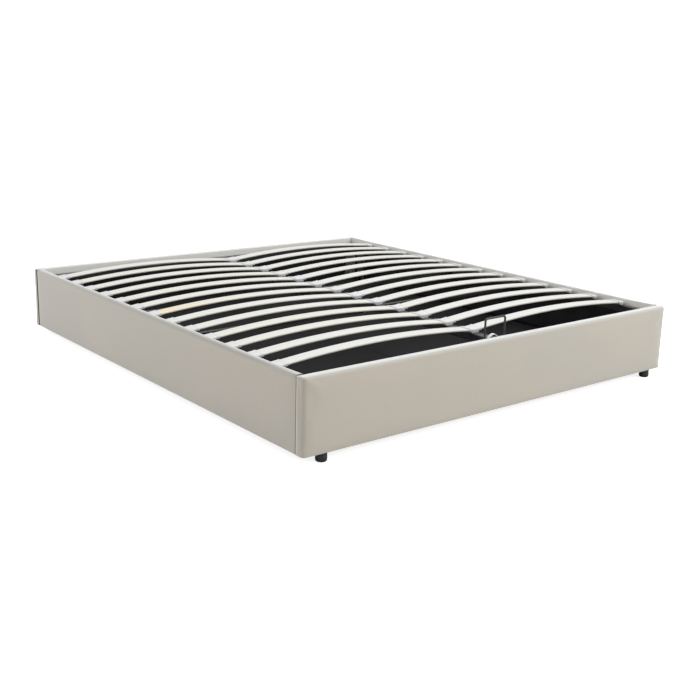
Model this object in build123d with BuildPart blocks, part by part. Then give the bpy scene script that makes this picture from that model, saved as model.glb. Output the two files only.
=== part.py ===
from build123d import *

import os
from math import atan2, cos, degrees, hypot, radians, sin, sqrt

# Ottoman storage bed: an upholstered box with arched slats on a steel frame that lifts at
# the foot end on two pivots and two gas struts.
# Millimetres. +X runs across the bed, +Y towards the head end and +Z up. The origin lies on
# the floor under the middle of the bed.

# Overall size
bed_width = 1880
bed_length = 2120
rail_height = 268
foot_height = 30

# Upholstered rails: a board with foam outside and on top, under cloth
side_rail_thickness = 26
end_rail_thickness = 42
cover_thickness = 1.5
side_padding_thickness = 7
end_padding_thickness = 10
top_padding_thickness = 11
rail_edge_radius = 10
rail_corner_radius = 16
cover_turn_down = 60

# Base of the storage box
ledger_width = 30
ledger_height = 24
ledger_raise = 4
panel_thickness = 8
panel_seam = 2
panel_edge_gap = 0.5
centre_beam_width = 60

# Feet
foot_radius = 20
foot_edge_radius = 3
foot_end_setback = 20
foot_side_setback = 87
centre_leg_radius = 22
centre_leg_spacing = 620
stud_radius = 4
stud_length = 18

# Corner brackets, frame rests and wood screws
bracket_leg = 40
bracket_thickness = 3
bracket_height = 120
bracket_raise = 16
bracket_screw_setback = 26
bracket_screw_margin = 22
rest_width = 60
rest_height = 42
rest_side_setback = 46
rest_gap = 0.3
rest_screw_margin = 16
screw_head_radius = 4.5
screw_head_height = 2.5
screw_radius = 2
screw_length = 15

# Steel lifting frame
frame_side_gap = 8
frame_end_gap = 33
frame_top_drop = 26
tube_width = 25
tube_height = 30
tube_wall = 1.5
tube_corner_radius = 3
centre_rail_width = 40
brace_size = 20
brace_pitch_share = 1.5
nut_plate_thickness = 3
bolt_radius = 3
bolt_head_across_radius = 5
bolt_head_height = 3
bolt_tip = 12
nut_height = 5

# Arched slats and their plastic holders
slat_rows = 13
slat_end_setback = 142
slat_width = 53
slat_thickness = 8
slat_camber = 24.5
slat_fit = 0.3
cap_wall = 2.5
cap_floor = 5
cap_length = 34
cap_edge_gap = 6
centre_cap_half_length = 32
cap_divider = 6
slat_end_gap = 1

# Mattress retainer and pull strap
wire_diameter = 8
retainer_width = 112
retainer_height = 83
retainer_bend_radius = 10
retainer_setback = 17
retainer_foot_length = 144
retainer_foot_width = 18
retainer_foot_thickness = 3
strap_span = 50
strap_width = 16
strap_thickness = 2.4
strap_height = 15
strap_shift = 9

# Lift pivots and hinge plates
lift_angle = 40
hinge_setback = 75
hinge_plate_thickness = 4
hinge_plate_reach = 45
hinge_plate_margin = 14
hinge_plate_raise = 4
hinge_plate_corner_radius = 10
hinge_plate_screw_margin = 10
pin_radius = 5
pin_fit = 0.05
pin_head_radius = 9
pin_head_height = 5
pin_collar_radius = 8
face_gap = 0.3

# Gas struts
strut_top_forward = 170
strut_top_drop = 42
strut_foot_forward = 20
strut_foot_raise = 17
strut_pin_radius = 4
strut_eye_radius = 11
strut_eye_thickness = 6
cylinder_radius = 9
cylinder_wall = 1.4
cylinder_start = 14
gland_length = 10
rod_radius = 4
rod_fit = 0.05
piston_length = 8
piston_fit = 0.1
rod_reach_at_rest = 20
fork_bridge_start = 21
fork_bridge_length = 6
fork_ear_thickness = 3
fork_ear_radius = 11
fork_gap = 0.5
lug_thickness = 4
lug_radius = 15.5
open_pivot_play = 4.7

# Heights worked out from the sizes above
rail_bottom = foot_height
rail_top = rail_bottom + rail_height
board_bottom = rail_bottom + cover_thickness
board_top = rail_top - cover_thickness - top_padding_thickness
ledger_bottom = rail_bottom + ledger_raise
ledger_top = ledger_bottom + ledger_height
panel_top = ledger_top + panel_thickness
lining_top = rail_top - cover_turn_down
tube_top = rail_top - frame_top_drop
tube_bottom = tube_top - tube_height
brace_bottom = tube_bottom - brace_size
bracket_bottom = panel_top + bracket_raise
rest_top = tube_bottom - rest_gap

# Faces worked out from the sizes above, as distances from the middle of the bed
outer_x = bed_width / 2
outer_y = bed_length / 2
inner_x = outer_x - side_rail_thickness
inner_y = outer_y - end_rail_thickness
board_face_x = inner_x + cover_thickness
board_face_y = inner_y + cover_thickness
side_board_outer_x = outer_x - cover_thickness - side_padding_thickness
end_board_outer_y = outer_y - cover_thickness - end_padding_thickness
end_board_end_x = outer_x - cover_thickness - end_padding_thickness
frame_x = inner_x - frame_side_gap
frame_y = inner_y - frame_end_gap
tube_inner_x = frame_x - tube_width
crossbar_inner_y = frame_y - tube_width
tube_middle_x = frame_x - tube_width / 2
foot_x = outer_x - foot_side_setback
foot_y = outer_y - foot_end_setback

# Slat arc: the circle of the underside, shared by the slats and the pockets of their holders
slat_inner_end = cap_divider / 2 + slat_end_gap
slat_outer_end = frame_x - cap_edge_gap - cap_wall - slat_end_gap
slat_chord = slat_outer_end - slat_inner_end
slat_middle_x = (slat_outer_end + slat_inner_end) / 2
slat_end_z = tube_top + cap_floor
slat_circle_radius = (slat_chord**2 / 4 + slat_camber**2) / (2 * slat_camber)
slat_circle_z = slat_end_z + slat_camber - slat_circle_radius
cap_width = slat_width + 2 * cap_wall

# Rows of slats, spread evenly along the frame between the two end rows, from the head down
end_row_y = frame_y - slat_end_setback
slat_pitch = 2 * end_row_y / (slat_rows - 1)
slat_rows_y = [end_row_y - slat_pitch * row for row in range(slat_rows)]
brace_y = slat_pitch * brace_pitch_share

# Lift geometry in the plane of one side: pivot, strut foot and strut top at rest
hinge_y = inner_y - hinge_setback
hinge_z = (tube_top + tube_bottom) / 2
strut_top_y = hinge_y - strut_top_forward
strut_top_z = hinge_z - strut_top_drop
strut_foot_y = hinge_y - strut_foot_forward
strut_foot_z = panel_top + strut_foot_raise
rise_y = strut_top_y - strut_foot_y
rise_z = strut_top_z - strut_foot_z
strut_length = hypot(rise_y, rise_z)
lift = radians(lift_angle)
raised_y = hinge_y - strut_top_forward * cos(lift) - strut_top_drop * sin(lift)
raised_z = hinge_z + strut_top_forward * sin(lift) - strut_top_drop * cos(lift)
strut_raised_length = hypot(raised_y - strut_foot_y, raised_z - strut_foot_z)
strut_stroke = strut_raised_length - strut_length
strut_turn = atan2(rise_z, rise_y) - atan2(raised_z - strut_foot_z, raised_y - strut_foot_y)
cylinder_end = strut_length - fork_bridge_start - fork_bridge_length - rod_reach_at_rest
piston_end = cylinder_end - gland_length - strut_stroke - face_gap
piston_start = piston_end - piston_length

sides = {"left": -1, "right": 1}
ends = {"foot": -1, "head": 1}
os.makedirs("parts", exist_ok=True)


def save(part, name):
    """Label one finished piece and write its file."""
    part.label = name
    export_step(part, "parts/" + name + ".step")


def block(x_span, y_span, z_span, mode=Mode.ADD):
    """Add or cut a rectangular block between two limits on each axis, given in either order."""
    x_low, x_high = sorted(x_span)
    y_low, y_high = sorted(y_span)
    z_low, z_high = sorted(z_span)
    with BuildSketch(Plane.XY.offset(z_low)) as footprint:
        with Locations(((x_low + x_high) / 2, (y_low + y_high) / 2)):
            Rectangle(x_high - x_low, y_high - y_low)
    extrude(footprint.sketch, amount=z_high - z_low, mode=mode)


def turned(plane, start, end, radius, mode=Mode.ADD):
    """Add or cut a round bar on a plane's normal, between two distances from its origin."""
    with BuildSketch(plane.offset(start)) as disc:
        Circle(radius)
    extrude(disc.sketch, amount=end - start, mode=mode)


def hexagonal(plane, start, end, across_radius):
    """Add a hexagonal head or nut on a plane's normal, between two distances."""
    with BuildSketch(plane.offset(start)) as outline:
        RegularPolygon(across_radius, 6)
    extrude(outline.sketch, amount=end - start)


def side_plane(side, x, y, z):
    """Plane on a face at x on one side of the bed, its normal pointing to the bed's middle."""
    return Plane(origin=(side * x, y, z), x_dir=(0, 1, 0), z_dir=(-side, 0, 0))


def end_plane(end, x, y, z):
    """Plane on a face at y at one end of the bed, its normal pointing to the bed's middle."""
    return Plane(origin=(x, end * y, z), x_dir=(1, 0, 0), z_dir=(0, -end, 0))


def upright_plane(x, y, z):
    """Level plane at a point, its normal pointing up."""
    return Plane(origin=(x, y, z), x_dir=(1, 0, 0), z_dir=(0, 0, 1))


def screw(plane):
    """Add a wood screw with its head's underside on the plane."""
    turned(plane, -screw_length, 0, screw_radius)
    turned(plane, 0, screw_head_height, screw_head_radius)


def screw_hole(plane):
    """Cut the hole that a screw with its head on the plane passes through or bites in."""
    turned(plane, -screw_length - face_gap, screw_head_height, screw_radius + pin_fit, Mode.SUBTRACT)


# Where the wood screws go
bracket_screw_heights = (bracket_bottom + bracket_screw_margin,
                         bracket_bottom + bracket_height - bracket_screw_margin)
bracket_face_x = inner_x - bracket_thickness
bracket_face_y = inner_y - bracket_thickness
plate_face_x = inner_x - hinge_plate_thickness
plate_low_y = hinge_y - hinge_plate_reach
plate_high_y = hinge_y + hinge_plate_margin
plate_bottom = panel_top + hinge_plate_raise
plate_top = hinge_z + hinge_plate_margin
plate_screw_points = ((plate_low_y + hinge_plate_screw_margin, plate_bottom + hinge_plate_screw_margin),
                      (plate_low_y + hinge_plate_screw_margin, (plate_bottom + plate_top) / 2),
                      (plate_low_y + hinge_plate_screw_margin, plate_top - hinge_plate_screw_margin),
                      (plate_high_y - hinge_plate_screw_margin, (plate_bottom + plate_top) / 2))
rest_outer_x = inner_x - rest_side_setback
rest_inner_x = rest_outer_x - rest_width
rest_screw_xs = (rest_inner_x + rest_screw_margin, rest_outer_x - rest_screw_margin)
rest_screw_z = rest_top - rest_height + rest_screw_margin


def side_bracket_planes(side):
    """Screw places of the two corner brackets on one side rail."""
    planes = []
    for end in ends.values():
        for z in bracket_screw_heights:
            planes.append(side_plane(side, bracket_face_x, end * (inner_y - bracket_screw_setback), z))
    return planes


def hinge_plate_planes(side):
    """Screw places of one hinge plate."""
    return [side_plane(side, plate_face_x, y, z) for y, z in plate_screw_points]


def end_bracket_planes(end):
    """Screw places of the two corner brackets on one end rail."""
    planes = []
    for side in sides.values():
        for z in bracket_screw_heights:
            planes.append(end_plane(end, side * (inner_x - bracket_screw_setback), bracket_face_y, z))
    return planes


def rest_planes(side):
    """Screw places of one frame rest on the foot rail."""
    return [end_plane(ends["foot"], side * x, bracket_face_y, rest_screw_z) for x in rest_screw_xs]


def side_rail_planes(side):
    """Every screw place on one side rail."""
    return side_bracket_planes(side) + hinge_plate_planes(side)


def end_rail_planes(end):
    """Every screw place on one end rail."""
    planes = end_bracket_planes(end)
    if end == ends["foot"]:
        for side in sides.values():
            planes += rest_planes(side)
    return planes


# Rail envelopes: the padded outline of a rail, drawn in from its outer faces
def side_rail_envelope(side, inset):
    """Side rail with rounded top edges, every long face drawn in by the inset."""
    with BuildPart() as envelope:
        block((side * (inner_x + inset), side * (outer_x - inset)), (-inner_y, inner_y),
              (rail_bottom + inset, rail_top - inset))
        top_edges = envelope.faces().sort_by(Axis.Z)[-1].edges().filter_by(Axis.Y)
        fillet(top_edges, rail_edge_radius - inset)
    return envelope.part


def end_rail_envelope(end, inset):
    """End rail with rounded outer corners and top edges, every face drawn in by the inset."""
    with BuildPart() as envelope:
        block((-outer_x + inset, outer_x - inset), (end * (inner_y + inset), end * (outer_y - inset)),
              (rail_bottom + inset, rail_top - inset))
        upright_edges = envelope.edges().filter_by(Axis.Z).group_by(Axis.Y)
        outer_edges = upright_edges[0] if end == ends["foot"] else upright_edges[-1]
        fillet(outer_edges, rail_corner_radius - inset)
        fillet(envelope.faces().sort_by(Axis.Z)[-1].edges(), rail_edge_radius - inset)
    return envelope.part


def foot_stud_hole(x, y):
    """Cut the hole for a screw-in foot's stud."""
    turned(upright_plane(x, y, foot_height), 0, stud_length + face_gap, stud_radius + pin_fit, Mode.SUBTRACT)


# Side rails
for side_name, side in sides.items():
    outer_form = side_rail_envelope(side, 0)
    padded_form = side_rail_envelope(side, cover_thickness)

    with BuildPart() as side_rail_board:
        block((side * board_face_x, side * side_board_outer_x), (-inner_y, inner_y),
              (board_bottom, board_top))
        for plane in side_rail_planes(side):
            screw_hole(plane)
    save(side_rail_board.part, "side_rail_board_" + side_name)

    with BuildPart() as side_rail_padding:
        add(padded_form)
        block((side * board_face_x, side * side_board_outer_x), (-inner_y, inner_y),
              (board_bottom, board_top), Mode.SUBTRACT)
    save(side_rail_padding.part, "side_rail_padding_" + side_name)

    with BuildPart() as side_rail_cover:
        add(outer_form)
        add(padded_form, mode=Mode.SUBTRACT)
        block((side * inner_x, side * board_face_x), (-inner_y, inner_y), (board_bottom, lining_top),
              Mode.SUBTRACT)
        for plane in hinge_plate_planes(side):
            screw_hole(plane)
    save(side_rail_cover.part, "side_rail_cover_" + side_name)

# End rails
for end_name, end in ends.items():
    outer_form = end_rail_envelope(end, 0)
    padded_form = end_rail_envelope(end, cover_thickness)

    with BuildPart() as end_rail_board:
        block((-end_board_end_x, end_board_end_x), (end * board_face_y, end * end_board_outer_y),
              (board_bottom, board_top))
        for plane in end_rail_planes(end):
            screw_hole(plane)
        for side in sides.values():
            foot_stud_hole(side * foot_x, end * foot_y)
    save(end_rail_board.part, end_name + "_rail_board")

    with BuildPart() as end_rail_padding:
        add(padded_form)
        block((-end_board_end_x, end_board_end_x), (end * board_face_y, end * end_board_outer_y),
              (board_bottom, board_top), Mode.SUBTRACT)
    save(end_rail_padding.part, end_name + "_rail_padding")

    with BuildPart() as end_rail_cover:
        add(outer_form)
        add(padded_form, mode=Mode.SUBTRACT)
        block((-board_face_x, board_face_x), (end * inner_y, end * board_face_y), (board_bottom, lining_top),
              Mode.SUBTRACT)
        for side in sides.values():
            foot_stud_hole(side * foot_x, end * foot_y)
    save(end_rail_cover.part, end_name + "_rail_cover")

# Dark lining that runs round the storage box below the cloth's turned-down edge
with BuildPart() as storage_lining:
    block((-board_face_x, board_face_x), (-board_face_y, board_face_y), (panel_top, lining_top))
    block((-inner_x, inner_x), (-inner_y, inner_y), (panel_top, lining_top), Mode.SUBTRACT)
    for side in sides.values():
        for plane in side_rail_planes(side):
            screw_hole(plane)
    for end in ends.values():
        for plane in end_rail_planes(end):
            screw_hole(plane)
save(storage_lining.part, "storage_lining")

# Ledgers, centre beam and floor panels
ledger_inner_y = board_face_y - ledger_width
with BuildPart() as side_ledgers:
    for side in sides.values():
        block((side * (board_face_x - ledger_width), side * board_face_x), (-ledger_inner_y, ledger_inner_y),
              (ledger_bottom, ledger_top))
save(side_ledgers.part, "side_ledgers")

with BuildPart() as end_ledgers:
    for end in ends.values():
        block((-board_face_x, board_face_x), (end * ledger_inner_y, end * board_face_y),
              (ledger_bottom, ledger_top))
save(end_ledgers.part, "end_ledgers")

centre_leg_ys = (-centre_leg_spacing, 0, centre_leg_spacing)
with BuildPart() as centre_beam:
    block((-centre_beam_width / 2, centre_beam_width / 2), (-ledger_inner_y, ledger_inner_y),
          (ledger_bottom, ledger_top))
    for leg_y in centre_leg_ys:
        turned(upright_plane(0, leg_y, ledger_bottom), 0, stud_length + face_gap, stud_radius + pin_fit,
               Mode.SUBTRACT)
save(centre_beam.part, "centre_beam")

panel_outer_x = board_face_x - panel_edge_gap
panel_outer_y = board_face_y - panel_edge_gap
for side_name, side in sides.items():
    with BuildPart() as base_panel:
        block((side * panel_seam / 2, side * panel_outer_x), (-panel_outer_y, panel_outer_y),
              (ledger_top, panel_top))
    save(base_panel.part, "base_panel_" + side_name)

# Screw-in feet under the end rails and adjustable legs under the centre beam
with BuildPart() as corner_feet:
    for side in sides.values():
        for end in ends.values():
            turned(upright_plane(side * foot_x, end * foot_y, 0), 0, foot_height, foot_radius)
    fillet(corner_feet.faces().group_by(Axis.Z)[0].edges(), foot_edge_radius)
    for side in sides.values():
        for end in ends.values():
            turned(upright_plane(side * foot_x, end * foot_y, foot_height), 0, stud_length, stud_radius)
save(corner_feet.part, "corner_feet")

with BuildPart() as centre_legs:
    for leg_y in centre_leg_ys:
        turned(upright_plane(0, leg_y, 0), 0, ledger_bottom, centre_leg_radius)
    fillet(centre_legs.faces().group_by(Axis.Z)[0].edges(), foot_edge_radius)
    for leg_y in centre_leg_ys:
        turned(upright_plane(0, leg_y, ledger_bottom), 0, stud_length, stud_radius)
save(centre_legs.part, "centre_legs")

# Corner brackets: bent steel angles that join the side rails to the end rails
with BuildPart() as corner_brackets:
    for side in sides.values():
        for end in ends.values():
            block((side * (inner_x - bracket_leg), side * inner_x),
                  (end * (inner_y - bracket_leg), end * inner_y),
                  (bracket_bottom, bracket_bottom + bracket_height))
            block((side * (inner_x - bracket_leg), side * bracket_face_x),
                  (end * (inner_y - bracket_leg), end * bracket_face_y),
                  (bracket_bottom, bracket_bottom + bracket_height), Mode.SUBTRACT)
            for plane in side_bracket_planes(side) + end_bracket_planes(end):
                screw_hole(plane)
save(corner_brackets.part, "corner_brackets")

# Frame rests: angles on the foot rail that the closed frame comes down on
rest_shelf_y = frame_y - tube_width
with BuildPart() as frame_rests:
    for side in sides.values():
        block((side * rest_inner_x, side * rest_outer_x), (-inner_y, -bracket_face_y),
              (rest_top - rest_height, rest_top))
        block((side * rest_inner_x, side * rest_outer_x), (-bracket_face_y, -rest_shelf_y),
              (rest_top - bracket_thickness, rest_top))
        for plane in rest_planes(side):
            screw_hole(plane)
save(frame_rests.part, "frame_rests")

with BuildPart() as bracket_screws:
    for side in sides.values():
        for plane in side_rail_planes(side):
            screw(plane)
    for end in ends.values():
        for plane in end_rail_planes(end):
            screw(plane)
save(bracket_screws.part, "bracket_screws")

# Hinge plates, with the pins that carry the frame and the struts' lower ends
strut_x = tube_middle_x
strut_inner_x = strut_x - strut_eye_thickness / 2
strut_outer_x = strut_x + strut_eye_thickness / 2
for side_name, side in sides.items():
    frame_pivot = side_plane(side, plate_face_x, hinge_y, hinge_z)
    strut_pivot = side_plane(side, plate_face_x, strut_foot_y, strut_foot_z)
    with BuildPart() as hinge_plate:
        block((side * plate_face_x, side * inner_x), (plate_low_y, plate_high_y), (plate_bottom, plate_top))
        fillet(hinge_plate.edges().filter_by(Axis.X), hinge_plate_corner_radius)
        turned(frame_pivot, -hinge_plate_thickness, 0, pin_radius + pin_fit, Mode.SUBTRACT)
        turned(strut_pivot, -hinge_plate_thickness, 0, strut_pin_radius + pin_fit, Mode.SUBTRACT)
        for plane in hinge_plate_planes(side):
            screw_hole(plane)
    save(hinge_plate.part, "hinge_plate_" + side_name)

    tube_outer_distance = plate_face_x - frame_x
    tube_inner_distance = plate_face_x - tube_inner_x
    eye_outer_distance = plate_face_x - strut_outer_x
    eye_inner_distance = plate_face_x - strut_inner_x
    with BuildPart() as pivot_pins:
        turned(frame_pivot, -hinge_plate_thickness, tube_inner_distance + face_gap, pin_radius)
        turned(frame_pivot, 0, tube_outer_distance - face_gap, pin_collar_radius)
        turned(frame_pivot, tube_inner_distance + face_gap, tube_inner_distance + face_gap + pin_head_height,
               pin_head_radius)
        turned(strut_pivot, -hinge_plate_thickness, eye_inner_distance + face_gap, strut_pin_radius)
        turned(strut_pivot, 0, eye_outer_distance - face_gap, pin_collar_radius)
        turned(strut_pivot, eye_inner_distance + face_gap, eye_inner_distance + face_gap + pin_head_height,
               pin_collar_radius)
    save(pivot_pins.part, "pivot_pins_" + side_name)


# Lifting frame
bolt_middle_y = frame_y - tube_width / 2
for side_name, side in sides.items():
    with BuildPart() as side_tube:
        block((side * tube_inner_x, side * frame_x), (-frame_y, frame_y), (tube_bottom, tube_top))
        fillet(side_tube.edges().filter_by(Axis.Y), tube_corner_radius)
        block((side * (tube_inner_x + tube_wall), side * (frame_x - tube_wall)), (-frame_y, frame_y),
              (tube_bottom + tube_wall, tube_top - tube_wall), Mode.SUBTRACT)
        turned(side_plane(side, frame_x, hinge_y, hinge_z), 0, tube_width, pin_radius + pin_fit,
               Mode.SUBTRACT)
        for end in ends.values():
            turned(side_plane(side, frame_x, end * bolt_middle_y, hinge_z), 0, tube_width,
                   bolt_radius + pin_fit, Mode.SUBTRACT)
            turned(upright_plane(side * tube_middle_x, end * brace_y, tube_bottom), 0, tube_height,
                   bolt_radius + pin_fit, Mode.SUBTRACT)
    save(side_tube.part, "side_tube_" + side_name)

crossbar_bore_x = tube_inner_x - nut_plate_thickness
for end_name, end in ends.items():
    with BuildPart() as crossbar:
        block((-tube_inner_x, tube_inner_x), (end * crossbar_inner_y, end * frame_y), (tube_bottom, tube_top))
        fillet(crossbar.edges().filter_by(Axis.X), tube_corner_radius)
        block((-crossbar_bore_x, crossbar_bore_x),
              (end * (crossbar_inner_y + tube_wall), end * (frame_y - tube_wall)),
              (tube_bottom + tube_wall, tube_top - tube_wall), Mode.SUBTRACT)
        for side in sides.values():
            turned(side_plane(side, tube_inner_x, end * bolt_middle_y, hinge_z), 0, nut_plate_thickness,
                   bolt_radius + pin_fit, Mode.SUBTRACT)
    save(crossbar.part, end_name + "_crossbar")

with BuildPart() as centre_rail:
    block((-centre_rail_width / 2, centre_rail_width / 2), (-crossbar_inner_y, crossbar_inner_y),
          (tube_bottom, tube_top))
    fillet(centre_rail.edges().filter_by(Axis.Y), tube_corner_radius)
    block((-centre_rail_width / 2 + tube_wall, centre_rail_width / 2 - tube_wall),
          (-crossbar_inner_y, crossbar_inner_y), (tube_bottom + tube_wall, tube_top - tube_wall),
          Mode.SUBTRACT)
    for end in ends.values():
        turned(upright_plane(0, end * brace_y, tube_bottom), 0, tube_height, bolt_radius + pin_fit,
               Mode.SUBTRACT)
save(centre_rail.part, "centre_rail")

brace_bolt_xs = (-tube_middle_x, 0, tube_middle_x)
brace_bore = brace_size - 2 * tube_wall
for end_name, end in ends.items():
    with BuildPart() as cross_brace:
        block((-frame_x, frame_x), (end * brace_y - brace_size / 2, end * brace_y + brace_size / 2),
              (brace_bottom, tube_bottom))
        block((-frame_x, frame_x), (end * brace_y - brace_bore / 2, end * brace_y + brace_bore / 2),
              (brace_bottom + tube_wall, tube_bottom - tube_wall), Mode.SUBTRACT)
        for bolt_x in brace_bolt_xs:
            turned(upright_plane(bolt_x, end * brace_y, brace_bottom), 0, brace_size, bolt_radius + pin_fit,
                   Mode.SUBTRACT)
    save(cross_brace.part, "cross_brace_" + end_name)

with BuildPart() as corner_bolts:
    for side in sides.values():
        for end in ends.values():
            axis_plane = side_plane(side, frame_x, end * bolt_middle_y, hinge_z)
            turned(axis_plane, 0, tube_width + bolt_tip, bolt_radius)
            hexagonal(axis_plane, -bolt_head_height, 0, bolt_head_across_radius)
save(corner_bolts.part, "corner_bolts")

with BuildPart() as brace_bolts:
    for bolt_x in brace_bolt_xs:
        for end in ends.values():
            axis_plane = upright_plane(bolt_x, end * brace_y, tube_top)
            turned(axis_plane, -tube_height - brace_size - nut_height, 0, bolt_radius)
            hexagonal(axis_plane, 0, bolt_head_height, bolt_head_across_radius)
            hexagonal(axis_plane, -tube_height - brace_size - nut_height, -tube_height - brace_size,
                      bolt_head_across_radius)
save(brace_bolts.part, "brace_bolts")


# Slats in their holders
def slat_height(x, growth):
    """Height of the slat's underside arc, moved out by the growth, at x from the middle."""
    return slat_circle_z + sqrt((slat_circle_radius + growth) ** 2 - (x - slat_middle_x) ** 2)


def slat_band(side, y, near_x, far_x, lower_growth, upper_growth, half_width, mode=Mode.ADD):
    """Add or cut a band between two arcs that share the slat's centre, across one row."""
    middle_x = (near_x + far_x) / 2
    lower = [(side * x, slat_height(x, lower_growth)) for x in (near_x, middle_x, far_x)]
    upper = [(side * x, slat_height(x, upper_growth)) for x in (near_x, middle_x, far_x)]
    with BuildSketch(Plane.XZ.offset(-y)) as profile:
        with BuildLine():
            ThreePointArc(*lower)
            Line(lower[2], upper[2])
            ThreePointArc(*upper)
            Line(upper[0], lower[0])
        make_face()
    extrude(profile.sketch, amount=half_width, both=True, mode=mode)


for row, row_y in enumerate(slat_rows_y, 1):
    with BuildPart() as slat_row:
        for side in sides.values():
            slat_band(side, row_y, slat_inner_end, slat_outer_end, 0, slat_thickness, slat_width / 2)
    save(slat_row.part, "slat_row_%02d" % row)


def slat_pocket(side, y, mouth_x, closed_x):
    """Cut the pocket that takes a slat's end, open at the mouth."""
    slat_band(side, y, mouth_x, closed_x, -slat_fit, slat_thickness + slat_fit, slat_width / 2 + slat_fit,
              Mode.SUBTRACT)


side_cap_outer_x = frame_x - cap_edge_gap
side_cap_mouth_x = side_cap_outer_x - cap_length
for side_name, side in sides.items():
    with BuildPart() as slat_caps:
        for row_y in slat_rows_y:
            slat_band(side, row_y, side_cap_mouth_x, side_cap_outer_x, -cap_wall, slat_thickness + cap_wall,
                      cap_width / 2)
            block((side * tube_inner_x, side * side_cap_outer_x),
                  (row_y - cap_width / 2, row_y + cap_width / 2),
                  (tube_top, slat_end_z + slat_thickness / 2))
            slat_pocket(side, row_y, side_cap_mouth_x - cap_wall, side_cap_outer_x - cap_wall)
    save(slat_caps.part, "slat_caps_" + side_name)

with BuildPart() as slat_caps_centre:
    for row_y in slat_rows_y:
        block((-centre_rail_width / 2, centre_rail_width / 2), (row_y - cap_width / 2, row_y + cap_width / 2),
              (tube_top, slat_end_z + slat_thickness))
        for side in sides.values():
            slat_band(side, row_y, 0, centre_cap_half_length, -cap_wall, slat_thickness + cap_wall,
                      cap_width / 2)
        for side in sides.values():
            slat_pocket(side, row_y, cap_divider / 2, centre_cap_half_length + cap_wall)
save(slat_caps_centre.part, "slat_caps_centre")

# Mattress retainer: a bent wire on a foot strip that stands on the foot crossbar
retainer_y = -(frame_y - retainer_setback)
wire_radius = wire_diameter / 2
leg_x = retainer_width / 2 - wire_radius
wire_foot_z = tube_top + retainer_foot_thickness
wire_top_z = tube_top + retainer_height - wire_radius
with BuildPart() as mattress_retainer:
    block((-retainer_foot_length / 2, retainer_foot_length / 2),
          (retainer_y - retainer_foot_width / 2, retainer_y + retainer_foot_width / 2),
          (tube_top, wire_foot_z))
    with BuildLine() as wire_path:
        FilletPolyline((-leg_x, retainer_y, wire_foot_z), (-leg_x, retainer_y, wire_top_z),
                       (leg_x, retainer_y, wire_top_z), (leg_x, retainer_y, wire_foot_z),
                       radius=retainer_bend_radius)
    with BuildSketch(upright_plane(-leg_x, retainer_y, wire_foot_z)) as wire_section:
        Circle(wire_radius)
    sweep(wire_section.sketch, path=wire_path.line)
save(mattress_retainer.part, "mattress_retainer")

# Pull strap: a webbing loop sewn flat to the retainer's foot strip
strap_low_x = -strap_shift - strap_span / 2
strap_high_x = strap_low_x + strap_span
with BuildPart() as pull_strap:
    with BuildSketch(Plane.XZ.offset(-retainer_y)) as strap_profile:
        with BuildLine():
            ThreePointArc((strap_low_x, wire_foot_z), (-strap_shift, wire_foot_z + strap_height),
                          (strap_high_x, wire_foot_z))
            Line((strap_high_x, wire_foot_z), (strap_high_x - strap_thickness, wire_foot_z))
            ThreePointArc((strap_high_x - strap_thickness, wire_foot_z),
                          (-strap_shift, wire_foot_z + strap_height - strap_thickness),
                          (strap_low_x + strap_thickness, wire_foot_z))
            Line((strap_low_x + strap_thickness, wire_foot_z), (strap_low_x, wire_foot_z))
        make_face()
    extrude(strap_profile.sketch, amount=strap_width / 2, both=True)
save(pull_strap.part, "pull_strap")


# Gas struts
def strut_plane(side):
    """Plane square to a strut at its lower pivot, its normal pointing along the strut."""
    return Plane(origin=(side * strut_x, strut_foot_y, strut_foot_z), x_dir=(1, 0, 0),
                 z_dir=(0, rise_y, rise_z))


def flat_link(plane, side, low_x, high_x, start, end, half_width, mode=Mode.ADD):
    """Add or cut a flat bar along the strut, between two distances and two faces across it."""
    with BuildSketch(plane.offset(start)) as section:
        with Locations(((low_x + high_x) / 2 - side * strut_x, 0)):
            Rectangle(abs(high_x - low_x), 2 * half_width)
    extrude(section.sketch, amount=end - start, mode=mode)


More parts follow.
